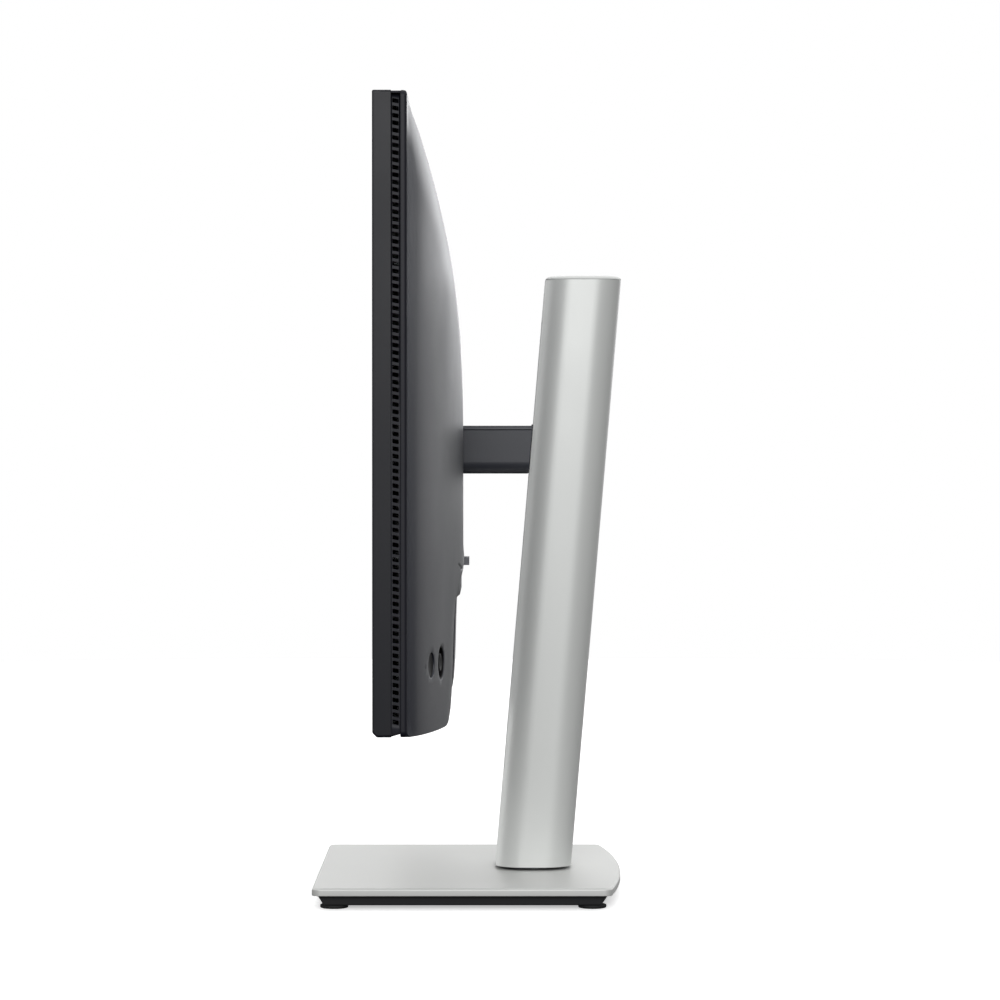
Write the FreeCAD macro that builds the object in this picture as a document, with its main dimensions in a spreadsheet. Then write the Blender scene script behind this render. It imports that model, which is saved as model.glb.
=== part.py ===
import FreeCAD, Part
import os
import re

import Sketcher

# A 27-inch office monitor on a height-adjustable stand.
# X runs across the screen, the screen faces -Y and +Z is up. The origin lies on the desk,
# under the middle of the object's bounding box. Every size is in millimetres.

Vector = FreeCAD.Vector
Rotation = FreeCAD.Rotation
Placement = FreeCAD.Placement

DIMENSIONS = [
    # display head: layers are counted as a depth back from the front plane
    ("head_width", 609.9, "outer width of the display head"),
    ("head_height", 353.7, "outer height of the display head"),
    ("head_bottom", 117.5, "height of the head's lower edge above the desk"),
    ("head_front", -51.75, "Y of the head's front plane"),
    ("hinge_height", 274.7, "height of the tilt and pivot axes above the desk"),
    ("hinge_y", 6.45, "Y of the tilt axis"),
    ("bezel_depth", 10.4, "depth of the front bezel"),
    ("bezel_wall", 2.0, "side wall of the front bezel"),
    ("bezel_face", 1.6, "thickness of the bezel's front face"),
    ("bezel_lip", 3.0, "width of the front face at the sides and top"),
    ("chin_height", 12.0, "width of the front face at the bottom"),
    ("panel_gap", 0.5, "gap between the panel's edge and the bezel wall"),
    ("glass_thickness", 1.4, "liquid-crystal cell with its polarisers"),
    ("film_thickness", 0.6, "stack of diffuser and prism films"),
    ("guide_thickness", 2.4, "light guide"),
    ("reflector_thickness", 0.3, "white reflector sheet"),
    ("chassis_sheet", 0.8, "steel sheet of the panel chassis"),
    ("guide_rise", 4.5, "height of the light guide above the panel's lower edge"),
    ("led_count", 24, "light-emitting diodes on the bar"),
    ("led_pitch", 24.5, "distance between the diodes"),
    ("vent_depth", 4.9, "depth of the ventilation frame"),
    ("vent_inset", 0.4, "inset of the ventilation frame from the bezel"),
    ("vent_wall", 2.0, "wall of the ventilation frame"),
    ("slot_pitch", 4.038, "distance between ventilation slots"),
    ("slot_height", 2.5, "height of one ventilation slot"),
    ("slot_length", 3.5, "length of one ventilation slot, front to back"),
    ("slot_slant", 10, "fall of each slot towards the back, degrees"),
    ("side_slots", 85, "ventilation slots on each side"),
    ("top_slots", 145, "ventilation slots along the top"),
    ("side_slots_middle", 295.5, "height of the middle slot on each side"),
    ("cover_wall", 2.2, "wall of the back cover"),
    ("cover_depth", 48.2, "depth of the back cover's flat middle"),
    # stand recess and quick release
    ("recess_size", 120, "width and height of the stand recess"),
    ("recess_floor", 34, "depth of the stand recess floor"),
    ("pan_wall", 2.0, "walls round the stand recess and the connector bay"),
    ("vesa_pitch", 100, "distance between the four mounting holes"),
    ("vesa_bore", 2.0, "radius of the M4 mounting holes"),
    ("insert_radius", 3.0, "outer radius of a threaded insert"),
    ("insert_length", 12, "length of a threaded insert"),
    ("release_plate", 86, "width and height of the quick-release plate"),
    ("release_sheet", 4, "thickness of the quick-release plate"),
    # connector bay
    ("bay_width", 200, "width of the connector bay"),
    ("bay_top", 182.5, "height of the bay's ceiling above the desk"),
    ("bay_floor", 20, "depth of the bay's back wall"),
    ("hood_depth", 45.6, "depth of the hood over the sockets"),
    ("hood_top", 196, "height of the hood's top above the desk"),
    ("board_depth", 21, "depth of the circuit boards' front face"),
    ("board_sheet", 1.6, "thickness of a circuit board"),
    ("bracket_depth", 16, "depth of the main bracket's front face"),
    ("bracket_sheet", 1.2, "thickness of the main bracket"),
    # controls on the back, at the lower right seen from the front
    ("power_x", 268, "X of the power button"),
    ("stick_x", 241, "X of the menu joystick"),
    ("lamp_x", 280.5, "X of the power lamp"),
    ("control_height", 155, "height of the controls above the desk"),
    ("power_radius", 7.0, "radius of the power button"),
    ("stick_well", 9.35, "radius of the joystick's well"),
    ("control_gap", 0.3, "gap round a control"),
    ("stick_pivot", 22.5, "depth of the joystick's pivot"),
    # arm
    ("arm_width", 60, "width of the arm"),
    ("arm_rise", 15.1, "arm's top face above the hinge axis"),
    ("arm_drop", 14.7, "arm's bottom face below the hinge axis"),
    ("arm_front", -4.5, "Y of the arm's front end"),
    ("arm_wall", 2.2, "wall of the arm's covers"),
    ("pin_radius", 4.0, "radius of the tilt pin"),
    ("ear_height", 14, "height of the tilt bracket's ears"),
    ("running_gap", 0.05, "radial clearance of pins and shafts"),
    # column
    ("column_width", 64, "width of the column"),
    ("column_thick", 47, "depth of the column, front to back"),
    ("column_corner", 17, "radius of the column's upright edges"),
    ("column_wall", 2.5, "wall of the column"),
    ("column_lean", 4.87, "backward lean of the column, degrees"),
    ("column_y", 38.28, "Y where the column's axis meets the desk"),
    ("column_foot", 15.2, "height of the column's lower end"),
    ("column_length", 400, "length of the leaning bar before its ends are cut level"),
    ("column_top", 383, "height of the top of the column's cap above the desk"),
    ("cap_height", 2.4, "height of the column's cap"),
    ("slot_half", 15, "half width of the column's front slot"),
    ("carriage_level", 275.7, "carriage's middle, measured along the column's axis"),
    ("travel_up", 63, "carriage travel above the modelled height"),
    ("travel_down", 87, "carriage travel below the modelled height"),
    ("neck_half", 14, "half height of the carriage's neck"),
    ("drum_radius", 11.1, "radius of a coiled spring"),
    ("drum_drop", 60, "spring axle below the carriage's middle"),
    # base
    ("base_width", 245, "width of the base"),
    ("base_front", 94.1, "front edge of the base, ahead of the origin"),
    ("base_corner_y", 85.2, "Y of the base's rear corners"),
    ("base_bulge", 8.9, "bulge of the rear edge behind the corners"),
    ("base_top", 13.2, "height of the base's top face"),
    ("base_skirt", 8.4, "height of the base plate's lower edge"),
    ("base_sheet", 2.5, "thickness of the base plate and its skirt"),
    ("base_round", 5, "radius of the base's corners"),
    ("under_inset", 3.5, "inset of the black underside"),
    ("under_bottom", 2.0, "height of the underside above the desk"),
    ("under_sheet", 2.4, "thickness of the underside's floor"),
    ("swivel_y", 39.5, "Y of the swivel axis"),
    ("spigot_radius", 10, "radius of the swivel spigot"),
    ("well_radius", 24, "radius of the well under the swivel"),
    ("foot_radius", 8.5, "radius of a rubber foot"),
    ("foot_x", 108, "X of the rubber feet"),
    ("foot_front", -81, "Y of the front feet"),
    ("foot_back", 74, "Y of the rear feet"),
]

# Back cover contours: depth behind the front plane, then the insets from the head's sides,
# top and bottom, and the radii of its upper and its lower corners.
CONTOURS = [
    (15.3, 0, 0, 0, 4, 4),
    (19.1, 0, 0, 0, 4, 4),
    (24, 10, 17, 0.3, 16, 6),
    (30, 30, 36, 0.6, 34, 8),
    (36, 60, 58, 1, 50, 10),
    (40, 85, 80, 1.6, 60, 14),
    (43.4, 130, 103, 66, 60, 60),
    (48.2, 206, 160, 84, 30, 30),
]

doc = FreeCAD.newDocument("OfficeMonitor")
sheet = doc.addObject("Spreadsheet::Sheet", "Dim")
SIZE = {}
for row, (alias, number, meaning) in enumerate(DIMENSIONS, start=1):
    sheet.set(f"A{row}", alias)
    sheet.set(f"B{row}", str(number))
    sheet.set(f"C{row}", meaning)
    sheet.setAlias(f"B{row}", alias)
    SIZE[alias] = number
doc.recompute()

ALIAS = re.compile(r"[a-z][a-z_]+")
TURN = {
    "x": Rotation(Vector(0, 1, 0), 90),
    "y": Rotation(Vector(1, 0, 0), -90),
    "z": Rotation(),
}
NODES = []


# ---- helpers -------------------------------------------------------------------------------

def formula(text):
    """The formula with every alias written as a cell of the sheet."""
    return ALIAS.sub(lambda m: f"Dim.{m[0]}" if m[0] in SIZE else m[0], str(text))


def bind(thing, prop, text):
    thing.setExpression(prop, formula(text))


def move(thing, point):
    for letter, text in zip("xyz", point):
        bind(thing, f"Placement.Base.{letter}", text)


def across(width, middle="0"):
    """The two ends of a stretch centred on a middle."""
    return f"{middle} - ({width}) / 2", f"{middle} + ({width}) / 2"


def deep(low, high):
    """The two Y values of a layer of the head, from its depths."""
    return f"head_front + {low}", f"head_front + {high}"


def node(thing, label):
    """Names the finished sub-part and puts it on the list of files to write."""
    thing.Label = label
    NODES.append(thing)
    return thing


def block(name, x, y, z):
    """A box between two X, two Y and two Z values."""
    box = doc.addObject("Part::Box", name)
    for size, (low, high) in zip(("Length", "Width", "Height"), (x, y, z)):
        bind(box, size, f"({high}) - ({low})")
    move(box, (x[0], y[0], z[0]))
    return box


def rod(name, radius, start, length, axis):
    """A cylinder that runs from a start point along +X, +Y or +Z."""
    cylinder = doc.addObject("Part::Cylinder", name)
    cylinder.Placement = Placement(Vector(), TURN[axis])
    bind(cylinder, "Radius", radius)
    bind(cylinder, "Height", length)
    move(cylinder, start)
    return cylinder


def join(name, *pieces):
    fused = doc.addObject("Part::MultiFuse", name)
    fused.Shapes = list(pieces)
    fused.Refine = True
    return fused


def group(name, *pieces):
    """Separate solids kept as one object."""
    compound = doc.addObject("Part::Compound", name)
    compound.Links = list(pieces)
    return compound


def cut(name, base, *tools):
    result = doc.addObject("Part::Cut", name)
    result.Base = base
    result.Tool = tools[0] if len(tools) == 1 else join(f"{name}_tools", *tools)
    return result


def common(name, first, second):
    result = doc.addObject("Part::MultiCommon", name)
    result.Shapes = [first, second]
    return result


def tube(name, outer, inner, start, length, axis):
    """A ring or bush with a round bore."""
    return cut(
        name,
        rod(f"{name}_outside", outer, start, length, axis),
        rod(f"{name}_bore", inner, start, length, axis),
    )


def lean(thing):
    """Stands an object made on the upright axis on the column's leaning axis."""
    thing.Placement = Placement(Vector(), Rotation(Vector(1, 0, 0), -SIZE["column_lean"]))
    bind(thing, "Placement.Base.y", "column_y")
    return thing


def plane_of(body, role):
    return next(f for f in body.Origin.OriginFeatures if f.Role == role)


def sketch_on(body, name, height="0"):
    """A sketch on a body's own XY plane, raised by a height."""
    sketch = body.newObject("Sketcher::SketchObject", name)
    sketch.AttachmentSupport = (plane_of(body, "XY_Plane"), [""])
    sketch.MapMode = "FlatFace"
    bind(sketch, "AttachmentOffset.Base.z", height)
    return sketch


def constrain(sketch, text, *what):
    """Adds a dimension to a sketch and binds it to a formula."""
    index = sketch.addConstraint(Sketcher.Constraint(*what))
    bind(sketch, f"Constraints[{index}]", text)


def rectangle(sketch, width, height):
    """A rectangle centred on the sketch's origin."""
    corners = [Vector(*c, 0) for c in ((-20, -10), (20, -10), (20, 10), (-20, 10))]
    for i in range(4):
        sketch.addGeometry(Part.LineSegment(corners[i], corners[(i + 1) % 4]), False)
    for i in range(4):
        sketch.addConstraint(Sketcher.Constraint("Coincident", i, 2, (i + 1) % 4, 1))
        sketch.addConstraint(Sketcher.Constraint(("Horizontal", "Vertical")[i % 2], i))
    sketch.addConstraint(Sketcher.Constraint("Symmetric", 0, 1, 2, 1, -1, 1))
    constrain(sketch, width, "DistanceX", 0, 1, 0, 2, 40)
    constrain(sketch, height, "DistanceY", 1, 1, 1, 2, 20)


def circle(sketch, radius):
    sketch.addGeometry(Part.Circle(Vector(), Vector(0, 0, 1), 10), False)
    sketch.addConstraint(Sketcher.Constraint("Coincident", 0, 3, -1, 1))
    constrain(sketch, radius, "Radius", 0, 10)


def pad(body, sketch, length):
    feature = body.newObject("PartDesign::Pad", f"{body.Name}_pad")
    feature.Profile = sketch
    bind(feature, "Length", length)
    sketch.Visibility = False
    return feature


def pocket(body, sketch, length):
    """Cuts upwards from a sketch and makes sure that material went."""
    doc.recompute()
    before = body.Shape.Volume
    feature = body.newObject("PartDesign::Pocket", f"{body.Name}_pocket")
    feature.Profile = sketch
    feature.Reversed = True
    bind(feature, "Length", length)
    doc.recompute()
    if body.Shape.Volume >= before:
        raise ValueError(f"the pocket in {body.Name} cuts nothing")
    return feature


def dress(body, kind, size_name, size, wanted):
    """A Fillet or Chamfer on those edges of the body for which wanted(edge) is true."""
    doc.recompute()
    tip = body.Tip
    edges = [f"Edge{i}" for i, e in enumerate(tip.Shape.Edges, start=1) if wanted(e)]
    feature = body.newObject(f"PartDesign::{kind}", f"{body.Name}_{kind.lower()}")
    feature.Base = (tip, edges)
    bind(feature, size_name, size)
    return feature


def upright(edge):
    """Is the edge a straight one along the body's own Z?"""
    if len(edge.Vertexes) != 2 or not isinstance(edge.Curve, Part.Line):
        return False
    return abs(abs(edge.Curve.Direction.z) - 1) < 1e-6


def at_height(z):
    return lambda edge: all(abs(v.Point.z - z) < 1e-6 for v in edge.Vertexes)


def new_body(name):
    return doc.addObject("PartDesign::Body", name)


def rounded_bar(name, width, depth, length, corner):
    """An upright bar with a rectangular section and rounded upright edges."""
    body = new_body(name)
    outline = sketch_on(body, f"{name}_outline")
    rectangle(outline, width, depth)
    pad(body, outline, length)
    dress(body, "Fillet", "Radius", corner, upright)
    return body


def disc(name, radius, start, length, axis, soften="0.6"):
    """A turned disc with a rounded far edge, made as a body."""
    body = new_body(name)
    sketch = sketch_on(body, f"{name}_profile")
    circle(sketch, radius)
    pad(body, sketch, length)
    body.Placement = Placement(Vector(), TURN[axis])
    move(body, start)
    doc.recompute()
    top = max(v.Point.z for v in body.Tip.Shape.Vertexes)
    dress(body, "Fillet", "Radius", soften, at_height(top))
    return body


# ---- display panel -------------------------------------------------------------------------

TOP = "head_bottom + head_height"
GLASS_BACK = "bezel_face + glass_thickness"
FILM_BACK = f"{GLASS_BACK} + film_thickness"
GUIDE_BACK = f"{FILM_BACK} + guide_thickness"
TRAY_FLOOR = f"{GUIDE_BACK} + reflector_thickness"
TRAY_BACK = f"{TRAY_FLOOR} + chassis_sheet"
PANEL_EDGE = "bezel_wall + panel_gap"


def head_layer(name, inset, low, high):
    """A rectangular layer of the head, inset from its outline."""
    return block(
        name,
        across(f"head_width - 2 * ({inset})"),
        deep(low, high),
        (f"head_bottom + {inset}", f"{TOP} - ({inset})"),
    )


def front_bezel():
    """The frame round the screen, with its front face and side wall."""
    window = block(
        "bezel_window",
        across("head_width - 2 * bezel_lip"),
        deep("-1", "bezel_depth"),
        ("head_bottom + chin_height", f"{TOP} - bezel_lip"),
    )
    room = head_layer("bezel_room", "bezel_wall", "bezel_face", "bezel_depth + 1")
    frame = head_layer("bezel_frame", "0", "0", "bezel_depth")
    node(cut("bezel", frame, window, room), "front_bezel")


def display_panel():
    """The layers of the liquid-crystal panel, in their steel tray."""
    node(head_layer("glass", PANEL_EDGE, "bezel_face", GLASS_BACK), "lcd_panel")
    inner = f"{PANEL_EDGE} + chassis_sheet"
    tray = head_layer("tray", PANEL_EDGE, GLASS_BACK, TRAY_BACK)
    room = head_layer("tray_room", inner, GLASS_BACK, TRAY_FLOOR)
    node(cut("tray_pressed", tray, room), "panel_chassis")
    films = head_layer("films", f"{inner} + 0.2", GLASS_BACK, FILM_BACK)
    reflector = head_layer("reflector", f"{inner} + 0.2", GUIDE_BACK, TRAY_FLOOR)
    node(group("optical_stack", films, reflector), "optical_sheets")
    guide = block(
        "guide",
        across(f"head_width - 2 * ({inner}) - 0.4"),
        deep(FILM_BACK, GUIDE_BACK),
        (f"head_bottom + {inner} + guide_rise", f"{TOP} - ({inner}) - 0.2"),
    )
    node(guide, "light_guide")


def led_bar():
    """The strip of diodes along the light guide's lower edge."""
    foot = f"head_bottom + {PANEL_EDGE} + chassis_sheet"
    strip = block(
        "led_strip",
        across("head_width - 20"),
        deep(FILM_BACK, GUIDE_BACK),
        (f"{foot} + 0.2", f"{foot} + 1.4"),
    )
    diodes = []
    for i in range(SIZE["led_count"]):
        middle = f"{i - (SIZE['led_count'] - 1) / 2} * led_pitch"
        diodes.append(
            block(
                f"led_{i}",
                across("5", middle),
                deep(f"{FILM_BACK} + 0.4", f"{GUIDE_BACK} - 0.4"),
                (f"{foot} + 1.4", f"{foot} + 2.6"),
            )
        )
    node(join("led_row", strip, *diodes), "led_bar")


def driver_board():
    """The narrow board behind the panel that drives its columns."""
    board = block(
        "driver", across("240"), deep(TRAY_BACK, f"{TRAY_BACK} + 1.2"),
        ("head_bottom + 7", "head_bottom + 19"),
    )
    node(board, "panel_driver_board")


def vent_slots():
    """Every ventilation slot of the two sides and the top, as cutting solids."""
    size = {name: sheet.get(name) for name in SIZE}
    half = size["slot_length"] / 2
    middle_y = size["head_front"] + size["bezel_depth"] + size["vent_depth"] / 2
    slots = []

    def slot(along, outward, at):
        """One slanted slot: a box at the origin, turned, then carried to its place."""
        solid = Part.makeBox(
            3 * size["vent_wall"], size["slot_length"], size["slot_height"],
            Vector(-1.5 * size["vent_wall"], -half, -size["slot_height"] / 2),
        )
        solid.rotate(Vector(), Vector(1, 0, 0), -size["slot_slant"])
        if outward == "z":
            solid.rotate(Vector(), Vector(0, 1, 0), -90)
        solid.translate(at + along)
        slots.append(solid)

    edge_x = size["head_width"] / 2 - size["vent_inset"] - size["vent_wall"] / 2
    count = int(size["side_slots"])
    for side in (-1, 1):
        for i in range(count):
            step = (i - (count - 1) / 2) * size["slot_pitch"]
            middle = Vector(side * edge_x, middle_y, size["side_slots_middle"])
            slot(Vector(0, 0, step), "x", middle)
    edge_z = size["head_bottom"] + size["head_height"] - size["vent_inset"]
    count = int(size["top_slots"])
    for i in range(count):
        step = (i - (count - 1) / 2) * size["slot_pitch"]
        slot(Vector(step, 0, 0), "z", Vector(0, middle_y, edge_z - size["vent_wall"] / 2))
    feature = doc.addObject("Part::Feature", "vent_slots")
    feature.Shape = Part.makeCompound(slots)
    return feature


def vent_frame():
    """The slotted frame between the bezel and the back cover."""
    back = "bezel_depth + vent_depth"
    frame = head_layer("vent_blank", "vent_inset", "bezel_depth", back)
    room = head_layer("vent_room", "vent_inset + vent_wall", "bezel_depth - 1", f"{back} + 1")
    ring = cut("vent_ring", frame, room)
    node(cut("vent_slotted", ring, vent_slots()), "vent_frame")


# ---- back cover ----------------------------------------------------------------------------

def contour(depth, side, top, bottom, radius, low_radius):
    """A closed rounded rectangle across the head at a depth."""
    size = {name: sheet.get(name) for name in SIZE}
    x = size["head_width"] / 2 - side
    low = size["head_bottom"] + bottom
    high = size["head_bottom"] + size["head_height"] - top
    y = size["head_front"] + depth
    radii = (low_radius, radius, radius, low_radius)
    middles = [(x - low_radius, low + low_radius), (x - radius, high - radius),
               (radius - x, high - radius), (low_radius - x, low + low_radius)]
    # each corner's arc starts, bows and ends along these directions
    ways = [((0, -1), (0.5 ** 0.5, -(0.5 ** 0.5)), (1, 0))]
    for _ in range(3):
        ways.append(tuple((-b, a) for a, b in ways[-1]))
    arcs = []
    for (cx, cz), way, r in zip(middles, ways, radii):
        points = [Vector(cx + r * a, y, cz + r * b) for a, b in way]
        arcs.append(points)
    edges = []
    for i, (start, bow, end) in enumerate(arcs):
        edges.append(Part.Arc(start, bow, end).toShape())
        edges.append(Part.makeLine(end, arcs[(i + 1) % 4][0]))
    return Part.Wire(edges)


def pillow(name, contours):
    feature = doc.addObject("Part::Feature", name)
    feature.Shape = Part.makeLoft([contour(*c) for c in contours], True, True)
    return feature


def back_cover():
    """The domed back shell with the stand recess, the connector bay and the control holes."""
    wall = SIZE["cover_wall"]
    outside = pillow("cover_outside", CONTOURS)
    inner = [(CONTOURS[0][0] - 1, wall, wall, wall, 3, 3), (17.4, wall, wall, wall, 3, 3)]
    for depth, side, top, bottom, radius, low_radius in CONTOURS[2:]:
        shift = 1.6
        inner.append((depth - wall, side + shift, top + shift, bottom + wall, radius - 1,
                      low_radius - 1))
    hood = block("hood", across("bay_width + 2 * pan_wall"), deep("36", "hood_depth"),
                 ("bay_top", "hood_top"))
    hood_room = block("hood_room", across("bay_width - 1.6"),
                      deep("36", "hood_depth - cover_wall"),
                      ("bay_top + cover_wall", "hood_top - cover_wall"))
    closed = join("cover_solid", outside, hood)
    shell = cut("cover_shell", closed, pillow("cover_inside", inner), hood_room)

    axis = "hinge_height"
    recess = across("recess_size", axis)
    pan_z = across("recess_size + 2 * pan_wall", axis)
    pan = block("stand_pan", across("recess_size + 2 * pan_wall"),
                deep("recess_floor - cover_wall", "cover_depth + 5"), pan_z)
    bay_pan = block("bay_pan", across("bay_width + 2 * pan_wall"),
                    deep("bay_floor - pan_wall", "cover_depth + 5"),
                    ("head_bottom", "bay_top + cover_wall"))
    pans = common("pans_trimmed", join("pans", pan, bay_pan), closed)
    whole = join("cover_whole", shell, pans)

    hollows = [
        block("stand_recess", across("recess_size"), deep("recess_floor", "60"), recess),
        block("connector_bay", across("bay_width"), deep("bay_floor", "60"),
              ("head_bottom - 1", "bay_top")),
        block("port_window", across("bay_width - 8"), deep("bay_floor + 2.6", "42"),
              ("bay_top - 1", "bay_top + 5")),
        block("release_hole", across("20.6"), deep("40", "60"), across("5.6", "205.1")),
        block("latch_slot", across("16.8"), deep("34.9", "37.1"),
              (f"{axis} - recess_size / 2 - 3", f"{axis} - recess_size / 2 + 1")),
        block("lock_hole", across("14", "-84"), deep("10", "30"), across("9", "152")),
    ]
    for side in (-1, 1):
        hollows.append(
            block(f"hook_slot_{side}", across("12.6", f"{side} * 30"), deep("34.8", "37.6"),
                  (f"{axis} + recess_size / 2 - 1", f"{axis} + recess_size / 2 + 3"))
        )
        for rise in (-1, 1):
            hollows.append(
                rod(f"vesa_hole_{side}_{rise}", "insert_radius",
                    (f"{side} * vesa_pitch / 2", "head_front + 25",
                     f"{axis} + {rise} * vesa_pitch / 2"), "20", "y")
            )
        hollows.append(
            rod(f"screw_hole_{side}", "1.5", (f"{side} * 92", "head_front + 10", "131"),
                "15", "y")
        )
    control = ("head_front + 20", "control_height")
    for name, x, radius in (
        ("power_hole", "power_x", "power_radius + control_gap"),
        ("stick_hole", "stick_x", "stick_well"),
        ("lamp_hole", "lamp_x", "1.25"),
    ):
        hollows.append(rod(name, radius, (x, control[0], control[1]), "30", "y"))
    node(cut("cover_finished", whole, *hollows), "back_cover")


# ---- inside the head -----------------------------------------------------------------------

PLATE_BACK = "bracket_depth + bracket_sheet"
BOARD_BACK = "board_depth + board_sheet"
STANDOFFS = [(-90, 205), (-32, 252), (32, 252), (54, 205), (68, 292), (118, 292), (118, 200)]


def main_bracket():
    """The steel plate that ties the panel, the boards and the stand mount together."""
    plate = block("bracket_plate", across("260"), deep("bracket_depth", PLATE_BACK), (190, 400))
    pieces = [plate]
    bores = []
    for side in (-1, 1):
        pieces.append(
            block(f"bracket_leg_{side}", across("12", f"{side} * 92"),
                  deep("bracket_depth", PLATE_BACK), (124, 191))
        )
        bores.append(rod(f"leg_bore_{side}", "1.4",
                         (f"{side} * 92", "head_front + 10", "131"), "10", "y"))
        for z in (210, 385):
            pieces.append(rod(f"post_{side}_{z}", "4",
                              (f"{side} * 122", f"head_front + {TRAY_BACK}", z),
                              f"bracket_depth - ({TRAY_BACK})", "y"))
        for rise in (-1, 1):
            at = (f"{side} * vesa_pitch / 2", f"head_front + {PLATE_BACK}",
                  f"hinge_height + {rise} * vesa_pitch / 2")
            reach = f"recess_floor - cover_wall - ({PLATE_BACK})"
            pieces.append(rod(f"boss_{side}_{rise}", "5.5", at, reach, "y"))
            bores.append(rod(f"boss_bore_{side}_{rise}", "insert_radius",
                             (at[0], "head_front + recess_floor - insert_length", at[2]),
                             "20", "y"))
    for i, (x, z) in enumerate(STANDOFFS):
        at = (x, f"head_front + {PLATE_BACK}", z)
        pieces.append(rod(f"standoff_{i}", "2.6", at, f"board_depth - ({PLATE_BACK})", "y"))
        bores.append(rod(f"standoff_bore_{i}", "1.2", (x, "head_front + 18", z), "5", "y"))
    bracket = join("bracket_whole", *pieces)
    node(cut("bracket", bracket, *bores), "main_bracket")


def vesa_inserts():
    """Four threaded inserts that a wall arm can be bolted to instead of the stand."""
    inserts = []
    for side in (-1, 1):
        for rise in (-1, 1):
            at = (f"{side} * vesa_pitch / 2", "head_front + recess_floor - insert_length",
                  f"hinge_height + {rise} * vesa_pitch / 2")
            inserts.append(tube(f"insert_{side}_{rise}", "insert_radius", "vesa_bore", at,
                                "insert_length", "y"))
    node(group("inserts", *inserts), "vesa_inserts")


def drilled_board(name, label, pieces, places):
    """A circuit board with a clearance hole over each of its standoffs."""
    board = pieces[0] if len(pieces) == 1 else join(f"{name}_outline", *pieces)
    holes = [rod(f"{name}_hole_{i}", "1.4", (x, "head_front + board_depth - 1", z), "4", "y")
             for i, (x, z) in enumerate(places)]
    node(cut(name, board, *holes), label)


def circuit_boards():
    """Main board, power board and the screws that hold them."""
    layer = deep("board_depth", BOARD_BACK)
    low = "bay_top + 4"
    drilled_board("main_card", "main_board", [
        block("main_strip", (-98, 60), layer, (low, 215)),
        block("main_tab", (-43, 43), layer, (214, 262)),
    ], STANDOFFS[:4])
    drilled_board("supply_card", "power_board",
                  [block("supply_blank", (62, 124), layer, (low, 300))], STANDOFFS[4:])
    screws = []
    for i, (x, z) in enumerate(STANDOFFS):
        head = rod(f"board_screw_head_{i}", "2.6", (x, f"head_front + {BOARD_BACK}", z),
                   "1.5", "y")
        shank = rod(f"board_screw_shank_{i}", "1.2", (x, "head_front + 18.2", z),
                    f"{BOARD_BACK} - 18.2", "y")
        screws.append(join(f"board_screw_{i}", head, shank))
    for side in (-1, 1):
        x = f"{side} * 92"
        head = rod(f"cover_screw_head_{side}", "2.8", (x, "head_front + bay_floor", "131"),
                   "1.6", "y")
        shank = rod(f"cover_screw_shank_{side}", "1.4", (x, "head_front + 12", "131"),
                    "bay_floor - 12", "y")
        screws.append(join(f"cover_screw_{side}", head, shank))
    node(group("screw_set", *screws), "head_screws")


def board_components():
    """The larger components on the two boards."""
    on_board = f"{BOARD_BACK}"
    transformer = block("transformer", (80, 106), deep(on_board, f"{on_board} + 8"), (222, 248))
    bulk = rod("bulk_capacitor", "4", (84, f"head_front + {on_board} + 4", 262), "28", "x")
    small = [
        rod(f"capacitor_{i}", "3", (70 + 8 * i, f"head_front + {on_board}", 276), "7", "y")
        for i in range(3)
    ]
    node(group("component_set", transformer, bulk, *small), "power_components")
    can = block("can", across("40"), deep(on_board, f"{on_board} + 6"), (219, 251))
    room = block("can_room", across("38.8"), deep(f"{on_board} - 1", f"{on_board} + 5.4"),
                 (219.6, 250.4))
    node(cut("can_pressed", can, room), "shield_can")


# width and depth of each connector's mouth, wall, then its X
PORTS = [
    ("hdmi_port", 15.4, 5.6, 0.6, 42),
    ("displayport_port", 17.0, 5.8, 0.6, 18),
    ("vga_port", 31.0, 10.4, 1.0, -13),
    ("usb_b_port", 12.4, 11.2, 0.8, -43),
    ("usb_a_inner", 14.6, 7.0, 0.8, -62),
    ("usb_a_outer", 14.6, 7.0, 0.8, -82),
]
INLET_X = 78


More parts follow.
